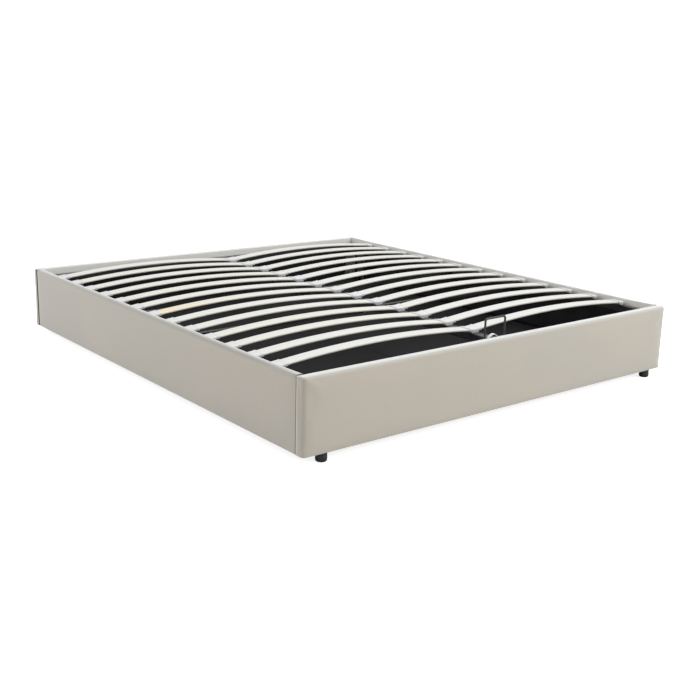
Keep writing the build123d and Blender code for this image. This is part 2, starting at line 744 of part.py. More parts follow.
fork_inner_half = lug_thickness / 2 + fork_gap
fork_outer_half = fork_inner_half + fork_ear_thickness
bridge_end = strut_length - fork_bridge_start
bridge_start = bridge_end - fork_bridge_length
for side_name, side in sides.items():
    axis_plane = strut_plane(side)
    eye_plane = side_plane(side, strut_outer_x, strut_foot_y, strut_foot_z)
    with BuildPart() as strut_cylinder:
        turned(axis_plane, cylinder_start, cylinder_end, cylinder_radius)
        turned(axis_plane, cylinder_start + cylinder_wall, cylinder_end - gland_length,
               cylinder_radius - cylinder_wall, Mode.SUBTRACT)
        turned(axis_plane, cylinder_start + cylinder_wall, cylinder_end, rod_radius + rod_fit, Mode.SUBTRACT)
        turned(eye_plane, 0, strut_eye_thickness, strut_eye_radius)
        flat_link(axis_plane, side, side * strut_inner_x, side * strut_outer_x, 0, cylinder_start,
                  cylinder_radius)
        turned(eye_plane, 0, strut_eye_thickness, strut_pin_radius + pin_fit, Mode.SUBTRACT)
    save(strut_cylinder.part, "strut_cylinder_" + side_name)

    upper_plane = side_plane(side, strut_x + fork_outer_half, strut_top_y, strut_top_z)
    with BuildPart() as strut_rod:
        turned(axis_plane, piston_start, piston_end, cylinder_radius - cylinder_wall - piston_fit)
        turned(axis_plane, piston_end, bridge_start, rod_radius)
        flat_link(axis_plane, side, side * strut_x - fork_outer_half, side * strut_x + fork_outer_half,
                  bridge_start, strut_length, cylinder_radius)
        turned(upper_plane, 0, 2 * fork_outer_half, fork_ear_radius)
        flat_link(axis_plane, side, side * strut_x - fork_inner_half, side * strut_x + fork_inner_half,
                  bridge_end, strut_length + 2 * fork_ear_radius, 2 * fork_ear_radius, Mode.SUBTRACT)
        turned(upper_plane, 0, 2 * fork_outer_half, strut_pin_radius)
    save(strut_rod.part, "strut_rod_" + side_name)

    lug_plane = side_plane(side, strut_x + lug_thickness / 2, strut_top_y, strut_top_z)
    with BuildPart() as strut_lug:
        turned(lug_plane, 0, lug_thickness, lug_radius)
        block((side * (strut_x - lug_thickness / 2), side * (strut_x + lug_thickness / 2)),
              (strut_top_y - lug_radius, strut_top_y + lug_radius), (strut_top_z, tube_bottom))
        turned(lug_plane, 0, lug_thickness, strut_pin_radius + open_pivot_play, Mode.SUBTRACT)
    save(strut_lug.part, "strut_lug_" + side_name)

print("Lift pivot y, z: %.2f, %.2f" % (hinge_y, hinge_z))
print("Strut foot y, z: %.2f, %.2f" % (strut_foot_y, strut_foot_z))
print("Strut direction y, z: %.6f, %.6f" % (rise_y / strut_length, rise_z / strut_length))
print("Strut length %.2f, stroke %.4f, turn %.4f degrees" % (strut_length, strut_stroke, degrees(strut_turn)))
print("Strut turn per lift %.6f, stroke per lift %.6f m/rad" % (strut_turn / lift, strut_stroke / lift / 1000))
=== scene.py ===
from math import cos, pi, radians, sin

import bmesh
import bpy
import numpy as np
from bpy.props import (FloatProperty, FloatVectorProperty, IntProperty, IntVectorProperty,
                       PointerProperty)
from mathutils import Matrix, Vector


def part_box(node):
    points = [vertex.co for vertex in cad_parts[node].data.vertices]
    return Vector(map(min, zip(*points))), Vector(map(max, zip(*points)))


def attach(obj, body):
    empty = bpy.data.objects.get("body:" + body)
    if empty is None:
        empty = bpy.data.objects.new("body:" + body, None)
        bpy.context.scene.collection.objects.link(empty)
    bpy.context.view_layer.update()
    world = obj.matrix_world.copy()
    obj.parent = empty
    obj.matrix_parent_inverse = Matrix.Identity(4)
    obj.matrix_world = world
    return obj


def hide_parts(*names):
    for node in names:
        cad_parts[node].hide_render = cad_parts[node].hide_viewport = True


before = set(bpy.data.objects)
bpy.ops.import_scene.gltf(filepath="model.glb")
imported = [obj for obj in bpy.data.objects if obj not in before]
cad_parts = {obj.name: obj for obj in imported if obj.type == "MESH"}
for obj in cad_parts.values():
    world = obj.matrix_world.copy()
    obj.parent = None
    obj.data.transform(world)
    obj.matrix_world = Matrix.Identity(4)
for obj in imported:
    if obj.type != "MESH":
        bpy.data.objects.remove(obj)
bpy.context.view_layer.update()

bl_info = {
    "name": "Ottoman Storage Bed",
    "version": (1, 0, 0),
    "blender": (4, 5, 0),
    "location": "3D View > Sidebar > Ottoman Bed",
    "description": "Dresses the storage bed: padded rails, bent slats, their holders and the fittings",
    "category": "Add Mesh",
}

SIDES = {"left": -1, "right": 1}
ENDS = {"foot": -1, "head": 1}
SLAT_ROWS = ["slat_row_%02d" % row for row in range(1, 14)]


def span(node):
    """Lowest and highest corner of a CAD node, as two arrays."""
    low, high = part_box(node)
    return np.array(low), np.array(high)


SIDE_COVER = span("side_rail_cover_right")
END_COVER = span("head_rail_cover")
LINING = span("storage_lining")
SLAT = span("slat_row_01")
SIDE_HOLDER = span("slat_caps_right")
CENTRE_HOLDER = span("slat_caps_centre")
TUBE = span("side_tube_right")
RETAINER = span("mattress_retainer")
STRAP = span("pull_strap")


# Sizes and colours

def length(label, text, default):
    """A size in metres that the sidebar shows."""
    return FloatProperty(name=label, description=text, default=default, min=0.0, precision=5,
                         unit="LENGTH", subtype="DISTANCE")


def colour(label, text, default):
    """A linear colour that the sidebar shows."""
    return FloatVectorProperty(name=label, description=text, default=default, size=3, min=0.0,
                               max=1.0, subtype="COLOR")


class UpholsterySizes(bpy.types.PropertyGroup):
    """Padded rails and their cloth."""
    foam_draw_in: length("Foam draw-in", "How far the foam's faces start inside the rail", 0.0025)
    swell: length("Swell", "How far the cloth may rise off its starting form", 0.003)
    top_round: length("Top rounding", "Radius of the rails' outer top edges", 0.0125)
    inner_round: length("Inner rounding", "Radius of the top edges beside the box", 0.0035)
    hem_round: length("Hem rounding", "Radius where the cloth turns under the rail", 0.003)
    corner_round: length("Corner rounding", "Radius of the bed's four upright corners", 0.016)
    seam_round: length("Seam rounding", "Radius of the rails' edges beside a seam", 0.0016)
    seam_gap: length("Seam gap", "Gap between a side rail and an end rail", 0.005)
    hem_step: length("Hem step", "Depth of the turned-down cloth's edge", 0.0016)
    grid_step: length("Grid step", "Spacing of the cloth's points", 0.0125)
    pressure: FloatProperty(name="Pressure", description="Push of the foam on the cloth",
                            default=4.0, min=0.0)
    settle_frames: IntProperty(name="Settling frames", description="Steps of the cloth simulation",
                               default=12, min=2)
    thread: length("Thread", "Width of one thread of the cloth", 0.0011)
    warm: colour("Warm cloth", "The cloth's warmer tone", (0.440, 0.390, 0.325))
    cool: colour("Cool cloth", "The cloth's cooler tone", (0.417, 0.383, 0.320))
    # Painted greyer tone along the top that stands in for the sheen-lit top
    painted_top_tone: colour("Painted top tone", "The cloth's greyer tone along the top", (0.372, 0.362, 0.328))
    # Painted light: a paler tone on the faces beside the box for the light that reaches them
    painted_inner_light: colour("Pale cloth", "The cloth's paler tone beside the box", (0.640, 0.625, 0.590))
    # Painted shade inside a seam
    deep: colour("Seam shade", "The cloth's tone inside a seam", (0.110, 0.088, 0.062))
    # Painted shade along the side rails' tops, in the seam's tone
    side_top_shade: FloatProperty(name="Side top shade", min=0.0, max=1.0, default=0.50,
                        description="How far the side rails' tops take the seam's tone")


class LiningSizes(bpy.types.PropertyGroup):
    """Dark cloth that lines the storage box."""
    thickness: length("Thickness", "Thickness of the lining cloth", 0.0008)
    inset: length("Inset", "Gap between the lining and the face behind it", 0.0003)
    corner_round: length("Corner rounding", "Radius of the lining's inner corners", 0.004)
    dark: colour("Lining", "Colour of the lining cloth", (0.0165, 0.0160, 0.0180))


class SlatSizes(bpy.types.PropertyGroup):
    """Bent plywood slats."""
    thickness: length("Thickness", "Thickness of a slat", 0.008)
    middle_gap: length("Middle gap", "Distance from the bed's middle to a slat's inner end", 0.004)
    edge_round: length("Edge rounding", "Radius of a slat's long edges", 0.0033)
    yellow_rows: IntVectorProperty(name="Yellowed rows", size=6, default=(2, 4, 5, 7, 10, 11),
                                   description="Rows from the head whose left slat is yellower")
    stained_row: IntProperty(name="Stained row", default=7, min=1, max=13,
                             description="Row whose left slat has a warm outer end")
    film: colour("Film", "White film on a slat's upper face and edges", (0.548, 0.547, 0.528))
    aged: colour("Aged film", "Film that has yellowed", (0.548, 0.543, 0.462))
    stain: colour("Warm stain", "Warm tint at one slat's end", (0.66, 0.53, 0.30))
    birch: colour("Birch", "Bare plywood", (0.60, 0.44, 0.245))
    # A dark line drawn where the film ends on the slat's lower edge
    dark_edge_line: colour("Dark edge line", "Dark line where the film ends", (0.30, 0.20, 0.09))


class HolderSizes(bpy.types.PropertyGroup):
    """Plastic sleeves that hold the slats' ends."""
    fit: length("Fit", "Play between a slat and its pocket", 0.0003)
    wall: length("Wall", "How far the sleeve stands off its slat", 0.0025)
    lip: length("Lip", "Length of the bead round the mouth", 0.004)
    outer_round: length("Outer rounding", "Radius of the sleeve's long edges", 0.0042)
    divider: length("Divider", "Wall between the two pockets of a centre holder", 0.006)
    plastic: colour("Plastic", "Colour of the holders", (0.535, 0.536, 0.538))


class FittingSizes(bpy.types.PropertyGroup):
    """Mattress retainer, pull strap, tube plugs and feet."""
    wire: length("Wire", "Diameter of the retainer's wire", 0.008)
    bend: length("Bend", "Radius of the wire's bends", 0.010)
    foot_strip: length("Foot strip", "Thickness of the retainer's foot strip", 0.003)
    webbing: length("Webbing", "Thickness of the pull strap", 0.0024)
    twist: FloatProperty(name="Twist", description="Turn of the strap between its ends",
                         default=radians(9), subtype="ANGLE")
    plug_head: length("Plug head", "Thickness of a plug's head outside its tube", 0.0014)
    tube_wall: length("Tube wall", "Wall of the frame's tubes", 0.0015)
    wire_coat: colour("Wire coat", "Colour of the retainer", (0.026, 0.028, 0.031))
    strap: colour("Strap", "Colour of the pull strap", (0.68, 0.67, 0.62))
    nylon: colour("Nylon", "Colour of feet and plugs", (0.0080, 0.0080, 0.0085))


class FinishSizes(bpy.types.PropertyGroup):
    """Finishes of the parts that keep their own shape."""
    powder: colour("Powder coat", "Coat on the steel frame", (0.020, 0.020, 0.022))
    zinc: colour("Zinc", "Plating on brackets and plates", (0.27, 0.275, 0.285))
    steel: colour("Steel", "Bolts, screws and pins", (0.52, 0.52, 0.54))
    strut: colour("Strut paint", "Paint on the gas cylinders", (0.010, 0.010, 0.011))
    chrome: colour("Chrome", "Plating on the strut rods", (0.72, 0.73, 0.75))
    panel: colour("Floor panel", "Dark board that closes the box below", (0.0165, 0.0160, 0.0175))
    pine: colour("Pine", "Ledgers and centre beam", (0.60, 0.40, 0.21))
    chip: colour("Chipboard", "Boards inside the rails", (0.47, 0.335, 0.195))


class StageSizes(bpy.types.PropertyGroup):
    """Camera, floor and studio light."""
    camera_place: FloatVectorProperty(name="Camera place", description="Where the camera stands",
                                      default=(-2.7676, -3.5311, 1.2265), size=3, unit="LENGTH",
                                      subtype="TRANSLATION")
    azimuth: FloatProperty(name="Azimuth", description="Camera's turn from the +Y direction",
                           default=radians(-39.07), subtype="ANGLE")
    dip: FloatProperty(name="Dip", description="How far the camera looks down",
                       default=radians(15.21), subtype="ANGLE")
    roll: FloatProperty(name="Roll", description="Camera's turn about its own line of sight",
                        default=radians(1.55), subtype="ANGLE")
    lens: FloatProperty(name="Lens", description="Focal length on a 36 mm sensor", default=53.486,
                        unit="CAMERA")
    floor: colour("Floor", "Colour of the studio floor", (0.55, 0.55, 0.55))
    glow: FloatProperty(name="Floor glow", description="Light that the floor shows by itself",
                        default=0.80, min=0.0)
    sky: FloatProperty(name="Fill", description="Strength of the light from all round",
                       default=0.75, min=0.0)
    backdrop: FloatProperty(name="Backdrop", description="Brightness of the wall behind",
                            default=1.03, min=0.0)
    top: FloatProperty(name="Top light", description="Power of the light above", default=140.0)
    left: FloatProperty(name="Left light", description="Power of the light at the left side",
                        default=300.0)
    right: FloatProperty(name="Right light", description="Power of the light at the foot end",
                         default=430.0)


# Surfaces

# Points in a quarter circle of a rounded corner, and in one of a smaller piece
CORNER_POINTS = 5
SMALL_CORNER_POINTS = 4
# Least radius, so that a corner's points never fall together, and the distance that joins points
LEAST_RADIUS = 2e-4
WELD_DISTANCE = 1e-5
# Edges turned by more than this many degrees are shaded sharp: on mouldings, wood and cloth
MOULDED_SHARP = 38.0
WOOD_SHARP = 50.0
CLOTH_SHARP = 60.0


def rounded_outline(half_x, half_y, radii, arc=CORNER_POINTS, between=(0, 0, 0, 0)):
    """Rounded rectangles, one for each row of sizes, anticlockwise from the +x side. A corner is its
    centre plus its radius times the unit circle over a quarter turn; a side between two corners is
    cut into equal steps. Returns points of shape (rows, count, 2)."""
    half = np.stack([half_x, half_y], -1)[:, None, :]
    turn = np.linspace(0, pi / 2, arc)
    arcs = []
    for corner, sign in enumerate(((1, 1), (-1, 1), (-1, -1), (1, -1))):
        angle = turn + corner * pi / 2
        radius = np.minimum(radii[:, corner], half.min(-1)[:, 0])[:, None, None]
        circle = np.stack([np.cos(angle), np.sin(angle)], -1)[None]
        arcs.append((half - radius) * np.array(sign) + radius * circle)
    parts = []
    for corner in range(4):
        begin, end = arcs[corner][:, -1:], arcs[(corner + 1) % 4][:, :1]
        share = np.linspace(0, 1, between[corner] + 2)[1:-1, None]
        parts += [arcs[corner], begin + (end - begin) * share]
    return np.concatenate(parts, 1)


def raised(plan, z):
    """Points of a plan outline, each of its rows at its own height."""
    heights = np.broadcast_to(z[:, None, None], plan.shape[:2] + (1,))
    return np.concatenate([plan, heights], -1)


def running_length(points, axis):
    """Distance run so far along one axis of a grid of points, from zero."""
    steps = np.linalg.norm(np.diff(points, axis=axis), axis=-1)
    zero = np.zeros_like(np.take(steps, [0], axis=axis))
    return np.concatenate([zero, np.cumsum(steps, axis=axis)], axis=axis)


def metre_map(points, around):
    """UV in metres: u is the distance round the widest ring of the grid, v the mean distance along
    its columns, so threads and grain keep their size."""
    ring = points[np.argmax(running_length(points, 1)[:, -1])]
    ring = np.concatenate([ring, ring[:1]]) if around else ring
    u = running_length(ring[None], 1)[0]
    v = running_length(points, 0).mean(1)
    return np.stack(np.broadcast_arrays(u[None, :], v[:, None]), -1)


def surface(name, grids, sharp=MOULDED_SHARP):
    """One welded mesh from grids of points (rows, columns, 3). Every cell of a grid is a quad, and a
    grid that goes around joins its last column to its first. Values named in a grid's masks become
    attributes, and its distances in metres become the mesh's map."""
    vertices, quads, corners, start = [], [], [], 0
    for grid in grids:
        points, around = grid["points"], grid.get("around", True)
        rows, columns = points.shape[:2]
        wide = columns if around else columns - 1
        i, j = np.meshgrid(np.arange(rows - 1), np.arange(wide), indexing="ij")
        k = (j + 1) % columns
        cell = np.stack([i * columns + j, i * columns + k, (i + 1) * columns + k,
                         (i + 1) * columns + j], -1)
        uv = metre_map(points, around)
        vertices.append(points.reshape(-1, 3))
        quads.append(cell.reshape(-1, 4) + start)
        corners.append(np.stack([uv[:-1, :-1], uv[:-1, 1:], uv[1:, 1:], uv[1:, :-1]], 2)
                       .reshape(-1, 2))
        start += rows * columns
    mesh = bpy.data.meshes.new(name)
    mesh.from_pydata(np.concatenate(vertices), [], np.concatenate(quads))
    layer = mesh.uv_layers.new(name="metres")
    layer.uv.foreach_set("vector", np.concatenate(corners).astype(np.float32).ravel())
    for mask in grids[0].get("masks", {}):
        values = [np.broadcast_to(g["masks"][mask], g["points"].shape[:2]).ravel() for g in grids]
        attribute = mesh.attributes.new(mask, "FLOAT", "POINT")
        attribute.data.foreach_set("value", np.concatenate(values).astype(np.float32))
    shell = bmesh.new()
    shell.from_mesh(mesh)
    bmesh.ops.remove_doubles(shell, verts=shell.verts, dist=WELD_DISTANCE)
    bmesh.ops.recalc_face_normals(shell, faces=shell.faces)
    shell.to_mesh(mesh)
    shell.free()
    mesh.polygons.foreach_set("use_smooth", np.ones(len(mesh.polygons), bool))
    mesh.set_sharp_from_angle(angle=radians(sharp))
    mesh.update()
    return mesh


def show(name, data):
    """A new object in the scene's own collection."""
    thing = bpy.data.objects.new(name, data)
    bpy.context.scene.collection.objects.link(thing)
    return thing


def place(name, mesh, finish, body, slot, nodes=()):
    """Put a finished mesh into the scene as a piece that rides on a body and stands for its nodes."""
    piece = show(name, mesh)
    mesh.materials.append(finish)
    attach(piece, body)
    if nodes:
        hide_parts(*nodes)
    return piece


def rounded_block(low, high, edge, upright):
    """Closed block with rounded edges: its plan outline, drawn in by d, stands at height z, where
    (d, z) runs up a quarter circle at the bottom, straight up and over one at the top."""
    low, high = np.array(low), np.array(high)
    half, middle = (high - low) / 2, (high + low) / 2
    turn = np.linspace(0, pi / 2, SMALL_CORNER_POINTS)
    thin = min(half[:2])
    draw = np.concatenate([[thin], edge * (1 - np.sin(turn)), edge * (1 - np.cos(turn)), [thin]])
    z = np.concatenate([[low[2]], low[2] + edge * (1 - np.cos(turn)),
                        high[2] - edge * (1 - np.sin(turn)), [high[2]]])
    radii = np.maximum(upright - draw, LEAST_RADIUS)[:, None].repeat(4, 1)
    plan = rounded_outline(half[0] - draw, half[1] - draw, radii, SMALL_CORNER_POINTS)
    return {"points": raised(plan + middle[:2], z)}


def lying_block(low, high, edge, upright, axis):
    """A rounded block whose outline lies square to a level axis: the block is worked out standing and
    its coordinates change places."""
    order = (1, 2, 0) if axis == 0 else (2, 0, 1)
    grid = rounded_block(np.array(low)[list(order)], np.array(high)[list(order)], edge, upright)
    back = [order.index(n) for n in range(3)]
    return {"points": grid["points"][..., back]}


def turned_form(x, y, profile, count):
    """Turned form about an upright line: each (radius, height) of the profile is carried round a
    circle, radius times cosine and sine."""
    radius, z = np.array(profile).T
    angle = np.linspace(0, 2 * pi, count, endpoint=False)
    points = np.stack([x + radius[:, None] * np.cos(angle), y + radius[:, None] * np.sin(angle),
                       np.broadcast_to(z[:, None], (len(z), count))], -1)
    return {"points": points}


def swept_ring(centres, across, up, section):
    """A ring carried along a path: at each of the path's points, the section's first number is laid
    along the across direction and its second along the up direction. The ends close to a point."""
    points = (centres[:, None] + section[..., :1] * across[:, None] + section[..., 1:] * up[:, None])
    first, last = points[:1].mean(1, keepdims=True), points[-1:].mean(1, keepdims=True)
    count = points.shape[1]
    return np.concatenate([first.repeat(count, 1), points, last.repeat(count, 1)])


# Shared shader groups

class Recipe:
    """A node tree being written. Values and sockets are given to inputs by name or by place."""

    # Places of the Mix node's two colour inputs and of its colour output
    FIRST_COLOUR, SECOND_COLOUR, MIXED_COLOUR = 6, 7, 2

    def __init__(self, tree):
        self.tree = tree

    def give(self, socket, value):
        """Join a socket to an input, or set the input's own value."""
        if isinstance(value, bpy.types.NodeSocket):
            self.tree.links.new(value, socket)
        else:
            socket.default_value = value

    def add(self, kind, inputs=None, **settings):
        """Place a node, set what it is, and set or join its inputs."""
        node = self.tree.nodes.new(kind)
        for key, value in settings.items():
            setattr(node, key, value)
        for key, value in (inputs or {}).items():
            self.give(node.inputs[key], value)
        return node

    def math(self, operation, *values):
        """One step of arithmetic."""
        return self.add("ShaderNodeMath", dict(enumerate(values)), operation=operation).outputs[0]

    def times(self, value, factor):
        """A value times another."""
        return self.math("MULTIPLY", value, factor)

    def plus(self, value, other):
        """A value plus another."""
        return self.math("ADD", value, other)

    def total(self, *parts, rest=None):
        """Sum of values, each times its weight, and of a plain rest."""
        terms = [self.times(value, weight) for value, weight in parts]
        terms += [] if rest is None else [rest]
        result = terms[0]
        for term in terms[1:]:
            result = self.plus(result, term)
        return result

    def mix(self, share, first, second, blend="MIX"):
        """Two colours, mixed by a share."""
        node = self.add("ShaderNodeMix", {0: share}, data_type="RGBA", blend_type=blend)
        for key, value in ((self.FIRST_COLOUR, first), (self.SECOND_COLOUR, second)):
            joined = isinstance(value, bpy.types.NodeSocket)
            self.give(node.inputs[key], value if joined else (*value[:3], 1.0))
        return node.outputs[self.MIXED_COLOUR]

    def remap(self, value, low, high, out_low=0.0, out_high=1.0):
        """A value stretched from one range to another and kept inside it."""
        return self.add("ShaderNodeMapRange", {0: value, 1: low, 2: high, 3: out_low, 4: out_high}
                        ).outputs[0]

    def noise(self, place, scale, detail=2.0, rough=0.5):
        """Cloudy noise in a place, from zero to one."""
        return self.add("ShaderNodeTexNoise", {"Vector": place, "Scale": scale, "Detail": detail,
                                               "Roughness": rough}).outputs[0]

    def cells(self, place, scale):
        """Cells in a place: their distances, and a colour for each cell."""
        return self.add("ShaderNodeTexVoronoi", {"Vector": place, "Scale": scale}).outputs

    def red(self, mixed):
        """The red share of a colour."""
        return self.add("ShaderNodeSeparateColor", {0: mixed}).outputs[0]

    def stretched(self, place, scale):
        """A place with each axis multiplied."""
        return self.add("ShaderNodeVectorMath", {0: place, 1: scale}, operation="MULTIPLY"
                        ).outputs[0]

    def axes(self, place):
        """A place's three coordinates."""
        return self.add("ShaderNodeSeparateXYZ", {0: place}).outputs

    def object_place(self):
        """Place on the object itself, in metres."""
        return self.add("ShaderNodeTexCoord").outputs["Object"]

    def metres(self):
        """Place on the piece's own map, in metres."""
        return self.add("ShaderNodeUVMap", uv_map="metres").outputs[0]

    def mask(self, name):
        """A value that the piece carries in its mesh."""
        return self.add("ShaderNodeAttribute", attribute_name=name).outputs["Fac"]

    def bump(self, height, strength, distance):
        """A normal from a height."""
        return self.add("ShaderNodeBump", {"Height": height, "Strength": strength,
                                           "Distance": distance}).outputs[0]

    def seen_by_camera(self):
        """One where the camera looks straight at it, and zero in light that bounces."""
        return self.add("ShaderNodeLightPath").outputs["Is Camera Ray"]

    def group(self, name, **inputs):
        """Place a shared group with its own values."""
        node = self.add("ShaderNodeGroup", node_tree=SHARED[name]())
        for key, value in inputs.items():
            self.give(node.inputs[key.capitalize()], value)
        return node.outputs


def shared_group(name, inputs, outputs, write):
    """A shader group by its name, made once. It takes a place and the given inputs, each with its
    default, and the given function writes the nodes and returns one value for each output."""
    tree = bpy.data.node_groups.get(name)
    if tree is None:
        tree = bpy.data.node_groups.new(name, "ShaderNodeTree")
        for label, default in {"Place": (0.0, 0.0, 0.0), **inputs}.items():
            kind = "NodeSocketVector" if isinstance(default, tuple) else "NodeSocketFloat"
            socket = tree.interface.new_socket(label, in_out="INPUT", socket_type=kind)
            socket.default_value = default
        for label in outputs:
            tree.interface.new_socket(label, in_out="OUTPUT", socket_type="NodeSocketFloat")
        recipe = Recipe(tree)
        values = write(recipe, recipe.add("NodeGroupInput").outputs)
        recipe.add("NodeGroupOutput", dict(zip(outputs, values)))
    return tree


def weave_group():
    """Plain weave: the height is a power of the size of sin(pi u / w) times sin(pi v / w), one bump
    for each crossing, and the sign of the product says whether warp or weft lies on top. Noise drawn
    out along the threads makes some of them thicker."""
    roundness, crossing = 0.6, 0.2
    slub_length, slub_width = 18.0, 700.0

    def write(r, given):
        axes = r.axes(given["Place"])
        waves = [r.math("SINE", r.times(r.math("DIVIDE", axes[n], given["Thread"]), pi))
                 for n in (0, 1)]
        product = r.times(*waves)
        height = r.math("POWER", r.math("ABSOLUTE", product), roundness)
        warp = r.remap(product, -crossing, crossing)
        slubs = [r.noise(r.stretched(given["Place"], stretch), scale=1.0, detail=1.0)
                 for stretch in ((slub_length, slub_width, 0.0), (slub_width, slub_length, 0.0))]
        return height, warp, r.times(r.plus(*slubs), 0.5)
    return shared_group("Plain Weave", {"Thread": 0.001}, ("Height", "Warp", "Slub"), write)


def grain_group():
    """Wood grain: noise drawn out along one axis. Fine noise gives the pores, coarse noise bends the
    sine bands of the growth rings."""
    def write(r, given):
        drawn = r.stretched(given["Place"], given["Along"])
        cloud = r.noise(drawn, scale=1.0, detail=3.0, rough=0.55)
        bands = r.math("SINE", r.times(cloud, r.times(given["Rings"], 2 * pi)))
        pores = r.noise(drawn, scale=9.0, rough=0.6)
        return r.remap(bands, -1.0, 1.0), r.remap(pores, low=0.42, high=0.7)
    return shared_group("Wood Grain", {"Along": (3.0, 60.0, 60.0), "Rings": 4.0},
                        ("Figure", "Pores"), write)


def speck_group():
    """Fine skin of a coat or a moulding: cloudy noise for the orange peel, and finer noise that
    roughens it."""
    finer = 3.0

    def write(r, given):
        scale = r.math("DIVIDE", 1.0, given["Size"])
        fine = r.noise(given["Place"], r.times(scale, finer), detail=1.0)
        return r.noise(given["Place"], scale), r.remap(fine, low=0.35, high=0.65)
    return shared_group("Fine Skin", {"Size": 0.002}, ("Height", "Speck"), write)


def scuff_group():
    """Handling marks: noise drawn out into scratches is cut at a level that falls with the amount,
    so that only its peaks are left, and a broader noise gives the smudges."""
    least_level, level_fall, scratch_edge = 0.8, 0.3, 0.08
    scratch_stretch = (9.0, 9.0, 260.0)

    def write(r, given):
        level = r.math("SUBTRACT", least_level, r.times(given["Amount"], level_fall))
        thin = r.noise(r.stretched(given["Place"], scratch_stretch), scale=2.0, rough=0.6)
        scratches = r.remap(r.math("SUBTRACT", thin, level), low=0.0, high=scratch_edge)
        cloud = r.noise(given["Place"], scale=7.0, detail=3.0, rough=0.55)
        return scratches, r.remap(cloud, low=0.35, high=0.75)
    return shared_group("Handling Marks", {"Amount": 0.4}, ("Scratches", "Smudges"), write)


SHARED = {"weave": weave_group, "grain": grain_group, "speck": speck_group, "scuff": scuff_group}


# Finishes

def finish_named(name, write):
    """A material by name, written once by the given function."""
    made = bpy.data.materials.get(name)
    if made is None:
        made = bpy.data.materials.new(name)
        made.use_nodes = True
        made.node_tree.nodes.clear()
        recipe = Recipe(made.node_tree)
        shader = write(recipe)
        recipe.add("ShaderNodeOutputMaterial", {"Surface": shader.outputs[0]})
    return made


def principled(recipe, **inputs):
    """The surface shader, its inputs given by their names with low lines for spaces."""
    return recipe.add("ShaderNodeBsdfPrincipled",
                      {key.replace("_", " "): value for key, value in inputs.items()})


def toned(base_colour, factor):
    """A colour made lighter or darker by a factor."""
    return [factor * c for c in base_colour]


def cloth_finish(settings):
    """Greige woven cloth with soft clouds of tone, fine threads and sheen. The piece's own values say
    where it takes a painted greyer tone along the top for the sheen-lit top, painted light beside
    the box, and painted shade: fully inside a seam and a little along the side rails' tops."""
    def write(r):
        cloud = r.remap(r.noise(r.object_place(), scale=2.6), low=0.35, high=0.65)
        weave = r.group("weave", place=r.metres(), thread=settings.thread)
        base = r.mix(cloud, settings.warm, settings.cool)
        # Painted tones: a greyer band along the top for the sheen-lit top, painted light beside the
        # box, and painted shade in the seams and along the side rails' tops
        for mask, tint in (("rubbing", settings.painted_top_tone), ("inside", settings.painted_inner_light),
                           ("shade", settings.deep)):
            base = r.mix(r.mask(mask), base, tint)
        # The weave's height darkens the hollows between the thread crossings as painted shade; the
        # slubs and the warp give the threads' own tone
        tone = r.total((weave["Height"], 0.10), (weave["Slub"], 0.16), (weave["Warp"], 0.03),
                       rest=0.83)
        shade = r.add("ShaderNodeCombineColor", {0: tone, 1: tone, 2: tone}).outputs[0]
        height = r.plus(weave["Height"], r.times(weave["Slub"], 1.2))
        return principled(r, Base_Color=r.mix(1.0, base, shade, "MULTIPLY"), Roughness=0.93,
                          Sheen_Weight=1.0, Sheen_Roughness=0.5,
                          Sheen_Tint=(0.95, 0.98, 1.0, 1.0), Specular_IOR_Level=0.25,
                          Normal=r.bump(height, strength=0.22, distance=0.0003))
    return finish_named("greige_weave", write)


def lining_finish(settings):
    """Pressed dark fibre cloth: fine noise drawn out upwards for the fibres, and cells for small
    dimples."""
    fibre_stretch, lighter = (500.0, 500.0, 90.0), 1.8

    def write(r):
        place = r.object_place()
        fibres = r.noise(r.stretched(place, fibre_stretch), scale=1.0, rough=0.7)
        dimples = r.cells(place, scale=320.0)[0]
        base = r.mix(r.remap(fibres, low=0.3, high=0.7), settings.dark,
                     toned(settings.dark, lighter))
        return principled(r, Base_Color=base, Roughness=0.95, Specular_IOR_Level=0.06,
                          Normal=r.bump(r.plus(fibres, dimples), strength=0.35, distance=0.0004))
    return finish_named("dark_fibre_cloth", write)


def slat_finish(settings):
    """White film over bent plywood. The piece's own values say where the film ends at the underside's
    edges, how far it has yellowed, and where it is stained. A dark line shows beside the bare wood."""
    grain_along, darker = (260.0, 3.0, 0.0), 0.72
    # Heights on the slat's edge, from -1 at its underside to 1 at its top
    wood_ends, dark_edge_begins, dark_edge_ends, film_begins = -0.60, -0.45, -0.50, -0.38

    def write(r):
        skin = r.mask("skin")
        grain = r.group("grain", place=r.metres(), along=grain_along, rings=2.0)
        aged = r.times(r.mask("yellowing"), r.remap(grain["Figure"], 0.0, 1.0, 0.65, 1.0))
        stained = r.times(r.mask("stain"), r.remap(grain["Figure"], 0.0, 1.0, 0.75, 1.0))
        film = r.mix(aged, settings.film, settings.aged)
        film = r.mix(stained, film, settings.stain)
        film = r.mix(r.times(grain["Pores"], 0.10), film, settings.aged)
        wood = r.mix(r.times(grain["Figure"], 0.35), settings.birch, toned(settings.birch, darker))
        # A dark line is drawn between the bare wood and the film
        bare = r.mix(r.remap(skin, wood_ends, dark_edge_begins), wood, settings.dark_edge_line)
        covered = r.remap(skin, dark_edge_ends, film_begins)
        height = r.total((grain["Pores"], 0.7), (grain["Figure"], 0.3))
        return principled(r, Base_Color=r.mix(covered, bare, film),
                          Roughness=r.remap(covered, 0.0, 1.0, 0.68, 0.45),
                          Normal=r.bump(height, strength=0.10, distance=0.0003))
    return finish_named("film_faced_birch", write)


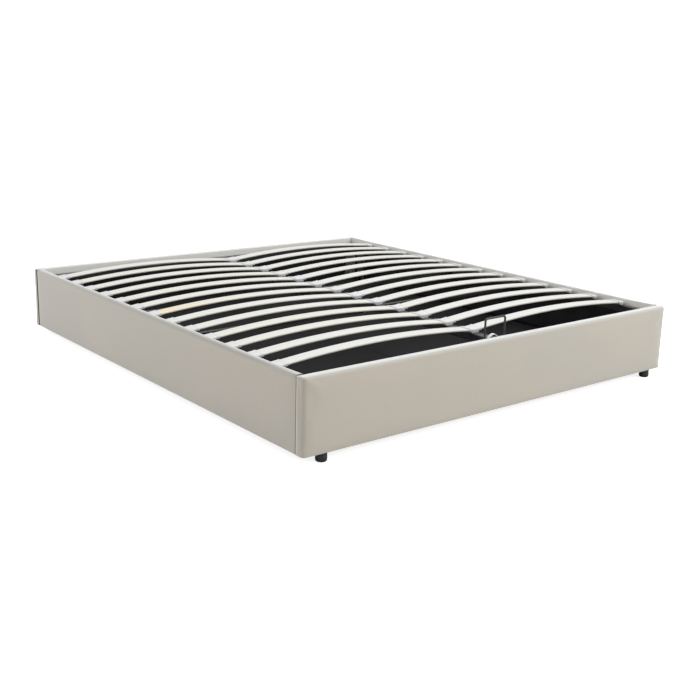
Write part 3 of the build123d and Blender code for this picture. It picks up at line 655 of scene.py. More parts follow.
def plastic_finish(name, base_colour, rough, skin, scratched):
    """Moulded plastic: a fine skin, slightly uneven gloss and faint handling marks."""
    smudged, scratch_gain, scratch_lift = 0.86, 2.2, 0.02

    def write(r):
        place = r.object_place()
        speck = r.group("speck", place=place, size=skin)
        marks = r.group("scuff", place=place, amount=0.3)
        base = r.mix(r.times(marks["Smudges"], 0.25), base_colour, toned(base_colour, smudged))
        base = r.mix(r.times(marks["Scratches"], scratched), base,
                     [min(1.0, c + scratch_lift) for c in toned(base_colour, scratch_gain)])
        gloss = r.remap(speck["Speck"], 0.0, 1.0, rough - 0.05, rough + 0.08)
        return principled(r, Base_Color=base, Roughness=gloss,
                          Normal=r.bump(speck["Height"], strength=0.12, distance=0.0002))
    return finish_named(name, write)


def coat_finish(name, base_colour, rough, coat, skin=0.0016, wear=0.25):
    """Powder coat on steel: orange peel, a thin glossy skin and a few worn marks."""
    peel_lighter, rubbed_steel = 1.5, (0.22, 0.22, 0.23)

    def write(r):
        place = r.object_place()
        speck = r.group("speck", place=place, size=skin)
        marks = r.group("scuff", place=place, amount=0.4)
        base = r.mix(r.times(speck["Speck"], 0.5), base_colour, toned(base_colour, peel_lighter))
        base = r.mix(r.times(marks["Scratches"], wear), base, rubbed_steel)
        gloss = r.plus(r.remap(marks["Smudges"], 0.0, 1.0, rough - 0.04, rough + 0.08),
                       r.times(speck["Speck"], 0.05))
        return principled(r, Base_Color=base, Roughness=gloss, Coat_Weight=coat,
                          Coat_Roughness=0.3,
                          Normal=r.bump(speck["Height"], strength=0.14, distance=0.0003))
    return finish_named(name, write)


def metal_finish(name, base_colour, rough, spangle=120.0, along=(1.0, 1.0, 1.0)):
    """Plated metal: crystal patches of slightly different tone, brushed or turned marks drawn out
    along an axis, and smudges in the gloss."""
    darker = 0.74

    def write(r):
        place = r.object_place()
        level = r.red(r.cells(place, spangle)[1])
        brushed = r.noise(r.stretched(place, along), scale=180.0, rough=0.6)
        marks = r.group("scuff", place=place, amount=0.5)
        base = r.mix(r.times(level, 0.5), base_colour, toned(base_colour, darker))
        gloss = r.plus(r.remap(brushed, 0.3, 0.7, rough - 0.05, rough + 0.07),
                       r.times(marks["Smudges"], 0.08))
        return principled(r, Base_Color=base, Metallic=1.0, Roughness=gloss,
                          Normal=r.bump(brushed, strength=0.06, distance=0.0002))
    return finish_named(name, write)


def webbing_finish(settings):
    """Off-white webbing: ribs across the strap from a sine along it, threads from the weave group,
    and painted shade in the grooves between the ribs."""
    thread, rib, darker = 0.0009, 0.0018, 0.72

    def write(r):
        place = r.metres()
        weave = r.group("weave", place=place, thread=thread)
        ribs = r.math("ABSOLUTE", r.math("SINE", r.times(r.axes(place)[1], pi / rib)))
        height = r.plus(ribs, r.times(weave["Height"], 0.6))
        # Painted shade: the webbing is darker where its height is low, in the grooves
        base = r.mix(r.remap(height, low=0.2, high=1.2), toned(settings.strap, darker),
                     settings.strap)
        return principled(r, Base_Color=base, Roughness=0.85, Sheen_Weight=0.2,
                          Normal=r.bump(height, strength=0.5, distance=0.0004))
    return finish_named("pull_strap_webbing", write)


def panel_finish(settings):
    """Dark faced board: a pebbled print from small cells, with faint lighter dust in the clouds."""
    dusty = 1.8

    def write(r):
        place = r.object_place()
        cells = r.cells(place, scale=260.0)[0]
        marks = r.group("scuff", place=place, amount=0.3)
        base = r.mix(r.times(marks["Smudges"], 0.5), settings.panel, toned(settings.panel, dusty))
        gloss = r.remap(marks["Smudges"], 0.0, 1.0, 0.68, 0.8)
        return principled(r, Base_Color=base, Roughness=gloss, Specular_IOR_Level=0.1,
                          Normal=r.bump(cells, strength=0.2, distance=0.0003))
    return finish_named("dark_panel", write)


def pine_finish(settings):
    """Planed pine along the bed: growth rings, pores and a darker late wood."""
    grain_along, pore = (22.0, 1.6, 22.0), (0.22, 0.11, 0.045)
    late_wood = [c * share for c, share in zip(settings.pine, (0.68, 0.58, 0.5))]

    def write(r):
        grain = r.group("grain", place=r.object_place(), along=grain_along, rings=5.0)
        base = r.mix(r.times(grain["Figure"], 0.6), settings.pine, late_wood)
        base = r.mix(r.times(grain["Pores"], 0.25), base, pore)
        gloss = r.remap(grain["Pores"], 0.0, 1.0, 0.62, 0.8)
        return principled(r, Base_Color=base, Roughness=gloss,
                          Normal=r.bump(grain["Pores"], strength=0.25, distance=0.0004))
    return finish_named("planed_pine", write)


def chip_finish(settings):
    """Chipboard: flakes are cells of their own tone, flattened in height."""
    flake_stretch, darker = (1.0, 1.0, 2.2), 0.55

    def write(r):
        flakes = r.cells(r.stretched(r.object_place(), flake_stretch), scale=240.0)
        base = r.mix(r.red(flakes[1]), settings.chip, toned(settings.chip, darker))
        return principled(r, Base_Color=base, Roughness=0.85,
                          Normal=r.bump(flakes[0], strength=0.4, distance=0.0005))
    return finish_named("chipboard", write)


# Padded rails and the lining

# Points in a quarter circle of a rail's top edge, of which the hem takes every second one
RAIL_EDGE_POINTS = 6
# Second ring of the underside, and how far a side rail's ends follow its rings inwards, as shares
UNDERSIDE_RING_SHARE = 0.55
END_DRAW_SHARE = 0.2
# Rings at the turned-down cloth's edge: half their distance, and the room kept clear of others
STEP_HALF = 0.0007
STEP_ROOM = 0.004
# Least values, so that rings never shrink to nothing and nothing is divided by zero
LEAST_RAIL_RADIUS = 3e-4
LEAST_HALF_WIDTH = 1e-4
LEAST_MOVE = 1e-9
# Depth over which the painted light beside the box fades, and in which the cloth is held there
INNER_DEPTH = 0.004
# Distance below the rail's top where the painted top-band tone and the side tops' painted shade are
# full, and where they are gone
TOP_BAND_FULL = 0.004
TOP_BAND_GONE = 0.014
# The seam's painted shade, full and gone, as shares of the seam's rounding
SEAM_FULL_SHARE = 0.3
SEAM_GONE_SHARE = 0.6
# Tongue of cloth that closes a side rail's seam: full and gone, from the inner face and from the
# rail's end, and the play that it leaves to the end rail
TONGUE_FULL_DEPTH = 0.002
TONGUE_GONE_DEPTH = 0.004
TONGUE_FULL_REACH = 0.00161
TONGUE_GONE_REACH = 0.00391
TONGUE_PLAY = 0.0003
# The cloth is held up to this height over the underside, and at this share of the seam's rounding
STAPLED_HEIGHT = 0.012
STAPLED_END_SHARE = 0.5
# How the cloth is simulated
CLOTH_SETTINGS = {"quality": 4, "mass": 0.3, "tension_stiffness": 25, "compression_stiffness": 25,
                  "shear_stiffness": 12, "bending_stiffness": 3, "use_pressure": True,
                  "vertex_group_mass": "stapled"}


def fade(distance, full, gone):
    """One up to the first distance, zero from the second on, and even between them."""
    return np.clip((gone - distance) / (gone - full), 0, 1)


def rail_rings(low, high, thin, settings):
    """Rings of a rail from the middle of its underside to the middle of its top: how far each is
    drawn in, its height, how far the top's tilt moves it to the box, and how far it sinks there.
    They run round the hem, up the faces and over the rounded top, with two at the edge of the
    turned-down cloth."""
    turn = np.linspace(0, pi / 2, RAIL_EDGE_POINTS)
    hem_turn = turn[::2]
    hem, top = settings.hem_round, (settings.top_round + settings.inner_round) / 2
    steps = int(round((high[2] - low[2] - hem - top) / settings.grid_step))
    rise = np.linspace(low[2] + hem, high[2] - top, steps + 1)[1:-1]
    edge = LINING[1][2]
    rise = np.sort(np.concatenate([rise[np.abs(rise - edge) > STEP_ROOM],
                                   [edge - STEP_HALF, edge + STEP_HALF]]))
    draw = np.concatenate([[thin, thin * UNDERSIDE_RING_SHARE], hem * (1 - np.sin(hem_turn)),
                           0 * rise, top * (1 - np.cos(turn)), [(thin + top) / 2, thin]])
    z = np.concatenate([[low[2]] * 2, low[2] + hem * (1 - np.cos(hem_turn)), rise,
                        high[2] - top * (1 - np.sin(turn)), [high[2]] * 2])
    below = np.zeros(len(draw) - len(turn) - 2)
    shift = np.concatenate([below, 1 - np.cos(turn), [0.5, 0.0]])
    sink = np.concatenate([below, 1 - np.sin(turn), [0.0, 0.0]])
    return draw, z, shift, sink


def padded_rail(name, low, high, inner, radii, settings):
    """Closed padded form of one rail, and where its cloth is held. The rail's rounded plan outline,
    drawn in by d, stands at height z, and (d, z) runs along the rail's rings. The top's rings move
    towards the box and rise on that side, so its radius is small there and large outside. The face
    to the box steps back below the edge of the turned-down cloth, and a side rail's inner edge
    reaches on to the end rails, which closes the seam on that side."""
    axis, sign, face, reach = inner
    low, high = low.copy(), high.copy()
    outer = high if sign > 0 else low
    outer[axis] -= sign * settings.foam_draw_in
    half, middle = (high - low) / 2, (high + low) / 2
    draw, z, shift, sink = rail_rings(low, high, min(half[:2]), settings)
    radii = np.maximum(np.array(radii) - draw[:, None], LEAST_RAIL_RADIUS)
    count = [max(1, int(round(2 * half[n % 2] / settings.grid_step)) - 1) for n in (0, 1, 0, 1)]
    end_draw = END_DRAW_SHARE * draw if axis == 0 else draw
    plan = rounded_outline(half[0] - draw, half[1] - end_draw, radii, between=count) + middle[:2]
    points = raised(plan, z)
    tilt = (settings.top_round - settings.inner_round) / 2
    room = np.maximum(half[axis] - draw, LEAST_HALF_WIDTH)[:, None]
    outward = np.clip(sign * (plan[..., axis] - middle[axis]) / room, -1, 1)
    points[..., axis] -= sign * tilt * shift[:, None]
    points[..., 2] -= tilt * outward * sink[:, None]

    near = sign * points[..., axis] - face
    inside = fade(near, 0, INNER_DEPTH)
    rubbing = fade(high[2] - points[..., 2], TOP_BAND_FULL, TOP_BAND_GONE)
    end_left = half[1] - np.abs(points[..., 1]) if axis == 0 else near
    shade = fade(end_left, SEAM_FULL_SHARE * settings.seam_round,
                 SEAM_GONE_SHARE * settings.seam_round)
    lower = (points[..., 2] < LINING[1][2]) & (np.abs(points[..., 1 - axis]) < reach)
    points[..., axis] += sign * settings.hem_step * inside * lower
    if axis == 0:
        # Painted shade along the side rails' tops, away from the faces beside the box
        shade = np.maximum(shade, settings.side_top_shade * rubbing * (1 - inside))
        tongue = (fade(near, TONGUE_FULL_DEPTH, TONGUE_GONE_DEPTH)
                  * fade(end_left, TONGUE_FULL_REACH, TONGUE_GONE_REACH))
        points[..., 1] += np.sign(points[..., 1]) * (settings.seam_gap - TONGUE_PLAY) * tongue
    else:
        shade = shade * (np.abs(points[..., 0]) > reach + INNER_DEPTH)
    masks = {"inside": inside, "rubbing": rubbing, "shade": shade}
    mesh = surface(name, [{"points": points, "masks": masks}], CLOTH_SHARP)

    rest = np.empty(len(mesh.vertices) * 3, np.float32)
    mesh.vertices.foreach_get("co", rest)
    rest = rest.reshape(-1, 3).astype(float)
    held = rest[:, 2] < low[2] + STAPLED_HEIGHT
    held |= ((sign * rest[:, axis] - face < INNER_DEPTH)
             & (rest[:, 2] < high[2] - settings.inner_round))
    if axis == 0:
        held |= np.abs(rest[:, 1]) > half[1] - STAPLED_END_SHARE * settings.seam_round
    return mesh, rest, held


def settle_cloth(pieces, settings):
    """Blow the cloth of each rail out by the foam's push, with the stapled parts held, and keep each
    point's move m as swell times tanh(m / swell), so that it stays on the rail."""
    scene = bpy.context.scene
    for piece, rest, held in pieces:
        group = piece.vertex_groups.new(name="stapled")
        group.add(np.flatnonzero(held).tolist(), 1.0, "REPLACE")
        cloth = piece.modifiers.new("cloth", "CLOTH")
        for key, value in CLOTH_SETTINGS.items():
            setattr(cloth.settings, key, value)
        cloth.settings.uniform_pressure_force = settings.pressure
        cloth.settings.effector_weights.gravity = 0
        cloth.collision_settings.use_collision = False
        cloth.point_cache.frame_start = 1
        cloth.point_cache.frame_end = settings.settle_frames
    for number in range(1, settings.settle_frames + 1):
        scene.frame_set(number)
    graph = bpy.context.evaluated_depsgraph_get()
    for piece, rest, held in pieces:
        blown = np.empty(rest.size, np.float32)
        piece.evaluated_get(graph).data.vertices.foreach_get("co", blown)
        move = blown.reshape(-1, 3) - rest
        size = np.maximum(np.linalg.norm(move, axis=1, keepdims=True), LEAST_MOVE)
        shape = rest + move * settings.swell * np.tanh(size / settings.swell) / size
        piece.modifiers.clear()
        piece.vertex_groups.clear()
        piece.data.vertices.foreach_set("co", shape.astype(np.float32).ravel())
        piece.data.update()
    scene.frame_set(1)


def rail_table(settings):
    """The four rails: name, two corners, inner face, corner radii and CAD nodes. The inner face is
    its axis, its side, its distance from the bed's middle and that of the faces square to it."""
    inner_x, inner_y = SIDE_COVER[0][0], END_COVER[0][1]
    wide, tight = settings.corner_round, settings.seam_round
    for name, side in SIDES.items():
        low, high = span("side_rail_cover_" + name)
        low[1] += settings.seam_gap
        high[1] -= settings.seam_gap
        yield ("side_rail_upholstery_" + name, low, high, (0, side, inner_x, inner_y), [tight] * 4,
               ["side_rail_cover_" + name, "side_rail_padding_" + name])
    for name, end in ENDS.items():
        low, high = span(name + "_rail_cover")
        corners = [wide, wide, tight, tight] if end > 0 else [tight, tight, wide, wide]
        yield (name + "_rail_upholstery", low, high, (1, end, inner_y, inner_x), corners,
               [name + "_rail_cover", name + "_rail_padding"])


class OTTOMAN_OT_upholster_rails(bpy.types.Operator):
    """Make the four padded rails in their woven cloth"""
    bl_idname = "ottoman.upholster_rails"
    bl_label = "Upholster Rails"

    def execute(self, context):
        settings = context.scene.ottoman_upholstery
        finish = cloth_finish(settings)
        pieces = []
        for name, low, high, inner, corners, nodes in rail_table(settings):
            mesh, rest, held = padded_rail(name, low, high, inner, corners, settings)
            piece = place(name, mesh, finish, "base", "cover_cloth", nodes)
            pieces.append((piece, rest, held))
        settle_cloth(pieces, settings)
        for piece, rest, held in pieces:
            fine = piece.modifiers.new("fine", "SUBSURF")
            fine.levels = fine.render_levels = 1
        return {"FINISHED"}


# Rings of the lining, points along its walls between the corners, and its gaps at foot and top
LINING_RINGS = 9
LINING_POINTS = (72, 80, 72, 80)
LINING_FOOT_GAP = 0.0004
LINING_TOP_GAP = 0.001
# The lining's slight waves: their depth, as a share of its half width, and their sines' radians for
# each metre
RIPPLE_SHARE = 0.0002
RIPPLE_RATES = (31, 27, 60)


class OTTOMAN_OT_line_storage(bpy.types.Operator):
    """Line the storage box with dark cloth"""
    bl_idname = "ottoman.line_storage"
    bl_label = "Line Storage Box"

    def execute(self, context):
        settings = context.scene.ottoman_lining
        half = LINING[1][:2] - settings.inset - settings.thickness / 2
        z = np.linspace(LINING[0][2] + LINING_FOOT_GAP, LINING[1][2] - LINING_TOP_GAP, LINING_RINGS)
        radii = np.full((len(z), 4), settings.corner_round)
        plan = rounded_outline(np.full(len(z), half[0]), np.full(len(z), half[1]), radii,
                               between=LINING_POINTS)
        points = raised(plan, z)
        ripple = RIPPLE_SHARE * np.sin(points * np.array(RIPPLE_RATES)).prod(-1, keepdims=True)
        points[..., :2] *= 1 - np.abs(ripple)
        mesh = surface("storage_lining_cloth", [{"points": points}], CLOTH_SHARP)
        piece = place("storage_lining_cloth", mesh, lining_finish(settings), "base", "dark_lining",
                      ["storage_lining"])
        wall = piece.modifiers.new("thickness", "SOLIDIFY")
        wall.thickness, wall.offset = settings.thickness, 0.0
        return {"FINISHED"}


# Slats and their holders

# Places along a slat where its section stands, points on its section's sides between the corners,
# and the small step that rounds off each end
SLAT_STATIONS = 45
SLAT_SIDE_POINTS = (4, 0, 4, 0)
SLAT_TIP = 0.0008
# The warm stain: the length that it falls off over, the share of it that stays full, and its power
STAIN_LENGTH = 0.16
STAIN_FULL_SHARE = 0.2
STAIN_POWER = 1.2
# How far slats differ in tone by chance, how far the yellowed ones go, and the stain's depth
CHANCE_YELLOWING = 0.15
ROW_YELLOWING = 0.40
STAIN_DEPTH = 0.75
TONE_SEED = 7


def slat_circle(settings):
    """Centre and radius of a slat's underside in the XZ plane, from its chord and its rise: the
    radius is (chord squared / 4 + rise squared) / (2 rise)."""
    near, far = settings.middle_gap, SLAT[1][0]
    rise = SLAT[1][2] - SLAT[0][2] - settings.thickness
    radius = ((far - near) ** 2 / 4 + rise ** 2) / (2 * rise)
    return (near + far) / 2, SLAT[0][2] + rise - radius, radius


def arc_place(x, growth, settings):
    """Point of the circle that is the growth larger than the slat's underside, at x from the bed's
    middle, and the direction square to it."""
    middle, low, radius = slat_circle(settings)
    angle = np.arcsin((x - middle) / radius)
    out = np.stack([np.sin(angle), np.zeros_like(x), np.cos(angle)], -1)
    return np.array([middle, 0.0, low]) + (radius + growth) * out, out


def slat_grid(side, row_y, yellowing, stain_depth, settings):
    """One slat: a rounded flat section carried along its circle from the inner to the outer end, with
    the small steps near the ends that round them off. The stain is its depth times e to minus a
    power of the distance from the outer end."""
    half = (SLAT[1][1] - SLAT[0][1]) / 2
    thick = settings.thickness / 2
    near, far = settings.middle_gap, SLAT[1][0]
    x = np.concatenate([near + np.array([0, SLAT_TIP]), np.linspace(near, far, SLAT_STATIONS)[1:-1],
                        far - np.array([SLAT_TIP, 0])])
    draw = np.zeros(len(x))
    draw[[0, -1]] = SLAT_TIP
    centre, out = arc_place(x, thick, settings)
    section = rounded_outline(half - draw, thick - draw,
                              np.full((len(x), 4), settings.edge_round),
                              between=SLAT_SIDE_POINTS)
    across = np.broadcast_to([0.0, 1.0, 0.0], centre.shape)
    points = swept_ring(centre + np.array([0, row_y, 0]), across, out, section)
    skin = np.concatenate([section[:1, :, 1], section[..., 1], section[-1:, :, 1]]) / thick
    from_end = (far - np.abs(points[..., 0])) / STAIN_LENGTH
    stain = stain_depth * np.exp(-np.maximum(from_end - STAIN_FULL_SHARE, 0) ** STAIN_POWER)
    points[..., 0] *= side
    return {"points": points, "masks": {"skin": skin, "yellowing": yellowing, "stain": stain}}


class OTTOMAN_OT_make_slats(bpy.types.Operator):
    """Make the thirteen rows of bent slats"""
    bl_idname = "ottoman.make_slats"
    bl_label = "Make Slats"

    def execute(self, context):
        settings = context.scene.ottoman_slats
        finish = slat_finish(settings)
        tones = np.random.default_rng(TONE_SEED).uniform(0.0, 1.0, (len(SLAT_ROWS), len(SIDES)))
        for number, node in enumerate(SLAT_ROWS, 1):
            low, high = span(node)
            grids = []
            for side, chance in zip(SIDES.values(), tones[number - 1]):
                aged = CHANCE_YELLOWING * chance
                if side < 0 and number in settings.yellow_rows:
                    aged += ROW_YELLOWING
                stain = STAIN_DEPTH if side < 0 and number == settings.stained_row else 0.0
                grids.append(slat_grid(side, (low[1] + high[1]) / 2, aged, stain, settings))
            name = "slat_%02d" % number
            place(name, surface(name, grids, WOOD_SHARP), finish, "lift_frame", "slat_wood", [node])
        return {"FINISHED"}


# Points on the sides of a sleeve's section between its corners, and the distance over which the
# circles of a row's two slats pass into each other at the bed's middle
SLEEVE_SIDE_POINTS = (4, 1, 4, 1)
MIDDLE_SOFTENING = 0.004
# Corner radius of a pocket, and how far a sleeve's skin lies below its lip
POCKET_ROUND = 0.0035
SKIN_DROP = 0.0005
# Chamfer of a mouth: distance into the pocket, distance off its wall, corner radius
MOUTH_CHAMFER = ((0.0018, 0.0, POCKET_ROUND), (0.0004, 0.0008, 0.004), (0.0, 0.0016, 0.0044))
# Rim of a mouth and end of its lip: distance inward, and how far it lies below the lip
MOUTH_RIM = ((0.0004, 0.0004), (0.0014, 0.0))
LIP_END = ((0.0, 0.0), (0.0008, SKIN_DROP))
# Rounded far end of a side sleeve: distance from the end, drop of the skin, loss of its radius
FAR_END = ((0.002, 0.0, 0.0), (0.0006, 0.0006, 0.0), (0.0, 0.002, 0.001))
# Places from the bed's middle where a centre sleeve has a ring between its lips
MIDDLE_RINGS = (0.022, 0.016, 0.010, 0.006, 0.003, 0.0)
# Pads between the sleeves and the tubes: height, rounding of their plan, and rounding of their
# edges at the sides and in the centre
PAD_HEIGHT = 0.008
PAD_CORNER = 0.003
SIDE_PAD_EDGE = 0.001
CENTRE_PAD_EDGE = 0.0012
# How far a pad stays inside its sleeve's width and far end
PAD_SIDE_INSET = 0.0015
PAD_END_INSET = 0.001


def sleeve_grid(steps, row_y, slat, side):
    """A moulded sleeve in one closed skin. Each step gives x, how far the wall stands off the slat,
    and the corner radius; the rounded ring of that size follows the slat's circle, from the bottom
    of the pocket out to the mouth, over the lip and back along the outside. Near the bed's middle x
    is softened to the root of x squared plus a small square, so both circles meet in a round."""
    x, off, radius = np.array(steps).T
    soft = np.sqrt(x ** 2 + MIDDLE_SOFTENING ** 2)
    centre, out = arc_place(soft, slat.thickness / 2, slat)
    centre[:, 0] = x
    out[:, 0] *= x / soft
    out /= np.linalg.norm(out, axis=1, keepdims=True)
    half = (SLAT[1][1] - SLAT[0][1]) / 2
    section = rounded_outline(half + off, slat.thickness / 2 + off, radius[:, None].repeat(4, 1),
                              between=SLEEVE_SIDE_POINTS)
    across = np.broadcast_to([0.0, 1.0, 0.0], centre.shape)
    points = swept_ring(centre + np.array([0, row_y, 0]), across, out, section)
    points[..., 0] *= side
    return {"points": points}


def mouth_steps(mouth, inward, holder):
    """Steps over the lip of a mouth at x, with the pocket lying inward: chamfer, rim and bead."""
    fit, wall, r = holder.fit, holder.wall, holder.outer_round
    steps = [(depth, fit + off, radius) for depth, off, radius in MOUTH_CHAMFER]
    steps += [(depth, wall - drop, r) for depth, drop in MOUTH_RIM]
    steps += [(holder.lip + depth, wall - drop, r) for depth, drop in LIP_END]
    return [(mouth + inward * depth, off, radius) for depth, off, radius in steps]


def side_steps(holder):
    """Steps of a side sleeve: the pocket's bottom, the mouth, the outside and its round far end."""
    mouth, far, r = SIDE_HOLDER[0][0], SIDE_HOLDER[1][0], holder.outer_round
    skin = holder.wall - SKIN_DROP
    return ([(far - holder.wall, holder.fit, POCKET_ROUND)] + mouth_steps(mouth, 1, holder)
            + [((mouth + far) / 2, skin, r)]
            + [(far - back, skin - drop, r - less) for back, drop, less in FAR_END])


def centre_steps(holder):
    """Steps of a centre sleeve: out of one pocket, over its mouth and on to the middle, and the
    mirror of that to the other pocket."""
    skin = holder.wall - SKIN_DROP
    half = ([(holder.divider / 2, holder.fit, POCKET_ROUND)]
            + mouth_steps(CENTRE_HOLDER[1][0], -1, holder)
            + [(x, skin, holder.outer_round) for x in MIDDLE_RINGS])
    return half + [(-x, off, radius) for x, off, radius in half[-2::-1]]


class OTTOMAN_OT_make_holders(bpy.types.Operator):
    """Make the plastic sleeves at the slats' ends"""
    bl_idname = "ottoman.make_holders"
    bl_label = "Make Slat Holders"

    def execute(self, context):
        holder, slat = context.scene.ottoman_holders, context.scene.ottoman_slats
        finish = plastic_finish("holder_plastic", holder.plastic, rough=0.40, skin=0.0012,
                                scratched=0.1)
        rows = [float(np.mean([corner[1] for corner in span(node)])) for node in SLAT_ROWS]
        pad_half = SIDE_HOLDER[1][1] - rows[0] - PAD_SIDE_INSET
        rail = span("centre_rail")
        table = [("side_holders_" + name, "slat_caps_" + name, side, side_steps(holder),
                  sorted((side * TUBE[0][0], side * (SIDE_HOLDER[1][0] - PAD_END_INSET))),
                  SIDE_PAD_EDGE) for name, side in SIDES.items()]
        table.append(("centre_holders", "slat_caps_centre", 1, centre_steps(holder),
                      (rail[0][0], rail[1][0]), CENTRE_PAD_EDGE))
        bottom = TUBE[1][2]
        for name, node, side, steps, pad_x, pad_edge in table:
            grids = []
            for y in rows:
                grids.append(sleeve_grid(steps, y, slat, side))
                grids.append(rounded_block((pad_x[0], y - pad_half, bottom),
                                           (pad_x[1], y + pad_half, bottom + PAD_HEIGHT),
                                           pad_edge, PAD_CORNER))
            place(name, surface(name, grids), finish, "lift_frame", "cap_plastic", [node])
        return {"FINISHED"}


# Fittings

# Retainer: gap under the wire's ends, distance of its legs from the foot strip's ends, heights over
# the strip of the rings in the weld's fillet, and height where the plain leg begins
WIRE_END_GAP = 0.0005
LEG_INSET = 0.020
WELD_RINGS = (0.0, 0.0012, 0.003, 0.006)
PLAIN_LEG_START = 0.012
# Rings on a plain leg, round a bend and along the top run, and points round the wire
LEG_RINGS = 4
BEND_RINGS = 9
TOP_RINGS = 5
WIRE_SIDES = 20
# The weld's fillet: its size at the strip, the height over which it falls off, and how upright the
# wire must run to have it
WELD_SIZE = 0.0024
WELD_FALL = 0.0016
WELD_UPRIGHT = 0.9
# Foot strip and its rivets, each rivet as (radius, height over the strip)
STRIP_EDGE = 0.0006
STRIP_CORNER = 0.004
RIVET_INSET = 0.008
RIVET_SIDES = 24
RIVET_OUTLINE = ((0, -0.0004), (0.0032, -0.0004), (0.0036, 0.0002), (0.0032, 0.0012),
                 (0.0018, 0.0019), (0, 0.0021))
# Strap: stations along it, points on its section's sides between the corners, how high its ends
# begin, and the rounding of its edges
STRAP_STATIONS = 49
STRAP_SIDE_POINTS = (6, 0, 6, 0)
STRAP_END_RAISE = 0.0003
STRAP_EDGE_INSET = 0.0006
STRAP_ROUND = 0.0009


def retainer_path(settings):
    """Centre line of the bent wire, its direction at each point and the strip's top: up one leg, a
    quarter circle, the top run, a quarter circle and down the other leg."""
    y = (RETAINER[0][1] + RETAINER[1][1]) / 2
    low, top = RETAINER[0][2] + settings.foot_strip, RETAINER[1][2] - settings.wire / 2
    bend, leg = settings.bend, (RETAINER[1][0] - RETAINER[0][0]) / 2 - LEG_INSET
    turn = np.linspace(0, pi / 2, BEND_RINGS)
    rise = np.concatenate([[RETAINER[0][2] + WIRE_END_GAP], low + np.array(WELD_RINGS),
                           np.linspace(low + PLAIN_LEG_START, top - bend, LEG_RINGS + 1)[:-1]])
    x = np.concatenate([np.full(len(rise), -leg), -leg + bend * (1 - np.cos(turn)),
                        np.linspace(-leg + bend, leg - bend, TOP_RINGS + 2)[1:-1]])
    z = np.concatenate([rise, top - bend + bend * np.sin(turn), np.full(TOP_RINGS, top)])
    x = np.concatenate([x, -x[:-TOP_RINGS][::-1]])
    z = np.concatenate([z, z[:-TOP_RINGS][::-1]])
    centres = np.stack([x, np.full_like(x, y), z], -1)
    run = np.gradient(centres, axis=0)
    run /= np.linalg.norm(run, axis=1, keepdims=True)
    return centres, run, low


def wire_grid(settings):
    """The bent wire: a circle carried along its centre line. Beside the strip the weld's fillet adds
    its size times e to minus the height over its fall."""
    centres, run, low = retainer_path(settings)
    angle = np.linspace(0, 2 * pi, WIRE_SIDES, endpoint=False)
    above = np.maximum(centres[:, 2] - low, 0)
    weld = WELD_SIZE * np.exp(-above / WELD_FALL) * (np.abs(run[:, 2]) > WELD_UPRIGHT)
    size = (settings.wire / 2 + weld)[:, None, None]
    section = size * np.stack([np.cos(angle), np.sin(angle)], -1)[None]
    across = np.broadcast_to([0.0, 1.0, 0.0], centres.shape)
    return {"points": swept_ring(centres, across, np.cross(run, across), section)}


def strip_grids(settings):
    """The retainer's foot strip with a rivet near each end."""
    low, high = RETAINER
    top = low[2] + settings.foot_strip
    middle_y, half = (low[1] + high[1]) / 2, (high[0] - low[0]) / 2
    rivet = [(radius, top + height) for radius, height in RIVET_OUTLINE]
    return ([rounded_block(low, (*high[:2], top), STRIP_EDGE, STRIP_CORNER)]
            + [turned_form(side * (half - RIVET_INSET), middle_y, rivet, RIVET_SIDES)
               for side in SIDES.values()])


def strap_grid(settings):
    """The pull strap: a flat rounded section carried along an arc of radius (half span squared + rise
    squared) / (2 rise), turned about its run by the twist times the sine of a full turn."""
    middle, extent = (STRAP[0] + STRAP[1]) / 2, STRAP[1] - STRAP[0]
    half_x, rise, half_thick = extent[0] / 2, extent[2], settings.webbing / 2
    radius = (half_x ** 2 + rise ** 2) / (2 * rise) - half_thick
    centre_z = STRAP[1][2] - half_thick - radius
    reach = np.arccos(max(-1.0, (STRAP[0][2] + STRAP_END_RAISE - centre_z) / radius))
    share = np.linspace(-1, 1, STRAP_STATIONS)
    lean = share * reach
    out = np.stack([np.sin(lean), 0 * lean, np.cos(lean)], -1)
    path = np.array([middle[0], middle[1], centre_z]) + radius * out
    turn = settings.twist * np.sin(share * pi)[:, None]
    side = np.array([0.0, 1.0, 0.0])
    across = np.cos(turn) * side + np.sin(turn) * out
    up = np.cos(turn) * out - np.sin(turn) * side
    flat = rounded_outline(np.full(STRAP_STATIONS, extent[1] / 2 - STRAP_EDGE_INSET),
                           np.full(STRAP_STATIONS, half_thick),
                           np.full((STRAP_STATIONS, 4), STRAP_ROUND),
                           SMALL_CORNER_POINTS, STRAP_SIDE_POINTS)
    return {"points": swept_ring(path, across, up, flat)}


class OTTOMAN_OT_make_retainer(bpy.types.Operator):
    """Make the mattress retainer and the webbing pull strap"""
    bl_idname = "ottoman.make_retainer"
    bl_label = "Make Retainer and Strap"

    def execute(self, context):
        settings = context.scene.ottoman_fittings
        coat = coat_finish("wire_coat", settings.wire_coat, rough=0.48, coat=0.0, skin=0.0011,
                           wear=0.3)
        mesh = surface("retainer_wire", [wire_grid(settings), *strip_grids(settings)])
        place("retainer_wire", mesh, coat, "lift_frame", "retainer_wire", ["mattress_retainer"])
        mesh = surface("pull_strap_webbing", [strap_grid(settings)])
        place("pull_strap_webbing", mesh, webbing_finish(settings), "lift_frame", "webbing",
              ["pull_strap"])
        return {"FINISHED"}


# Feet: points round them, their gap under what they carry, and the radius of their studs
GLIDE_SIDES = 48
SEAT_GAP = 0.0001
STUD_RADIUS = 0.0040
# Corner foot as (radius, height) from the floor up, and its collar as (radius, depth below the rail)
FOOT_OUTLINE = ((0, 0), (0.0125, 0), (0.0160, 0.0006), (0.0186, 0.0026), (0.0197, 0.0058),
                (0.0200, 0.0095), (0.0198, 0.0160), (0.0194, 0.0212), (0.0190, 0.0222),
                (0.0190, 0.0232), (0.0197, 0.0242))
FOOT_COLLAR = ((0.0199, 0.0009), (0.0194, SEAT_GAP))
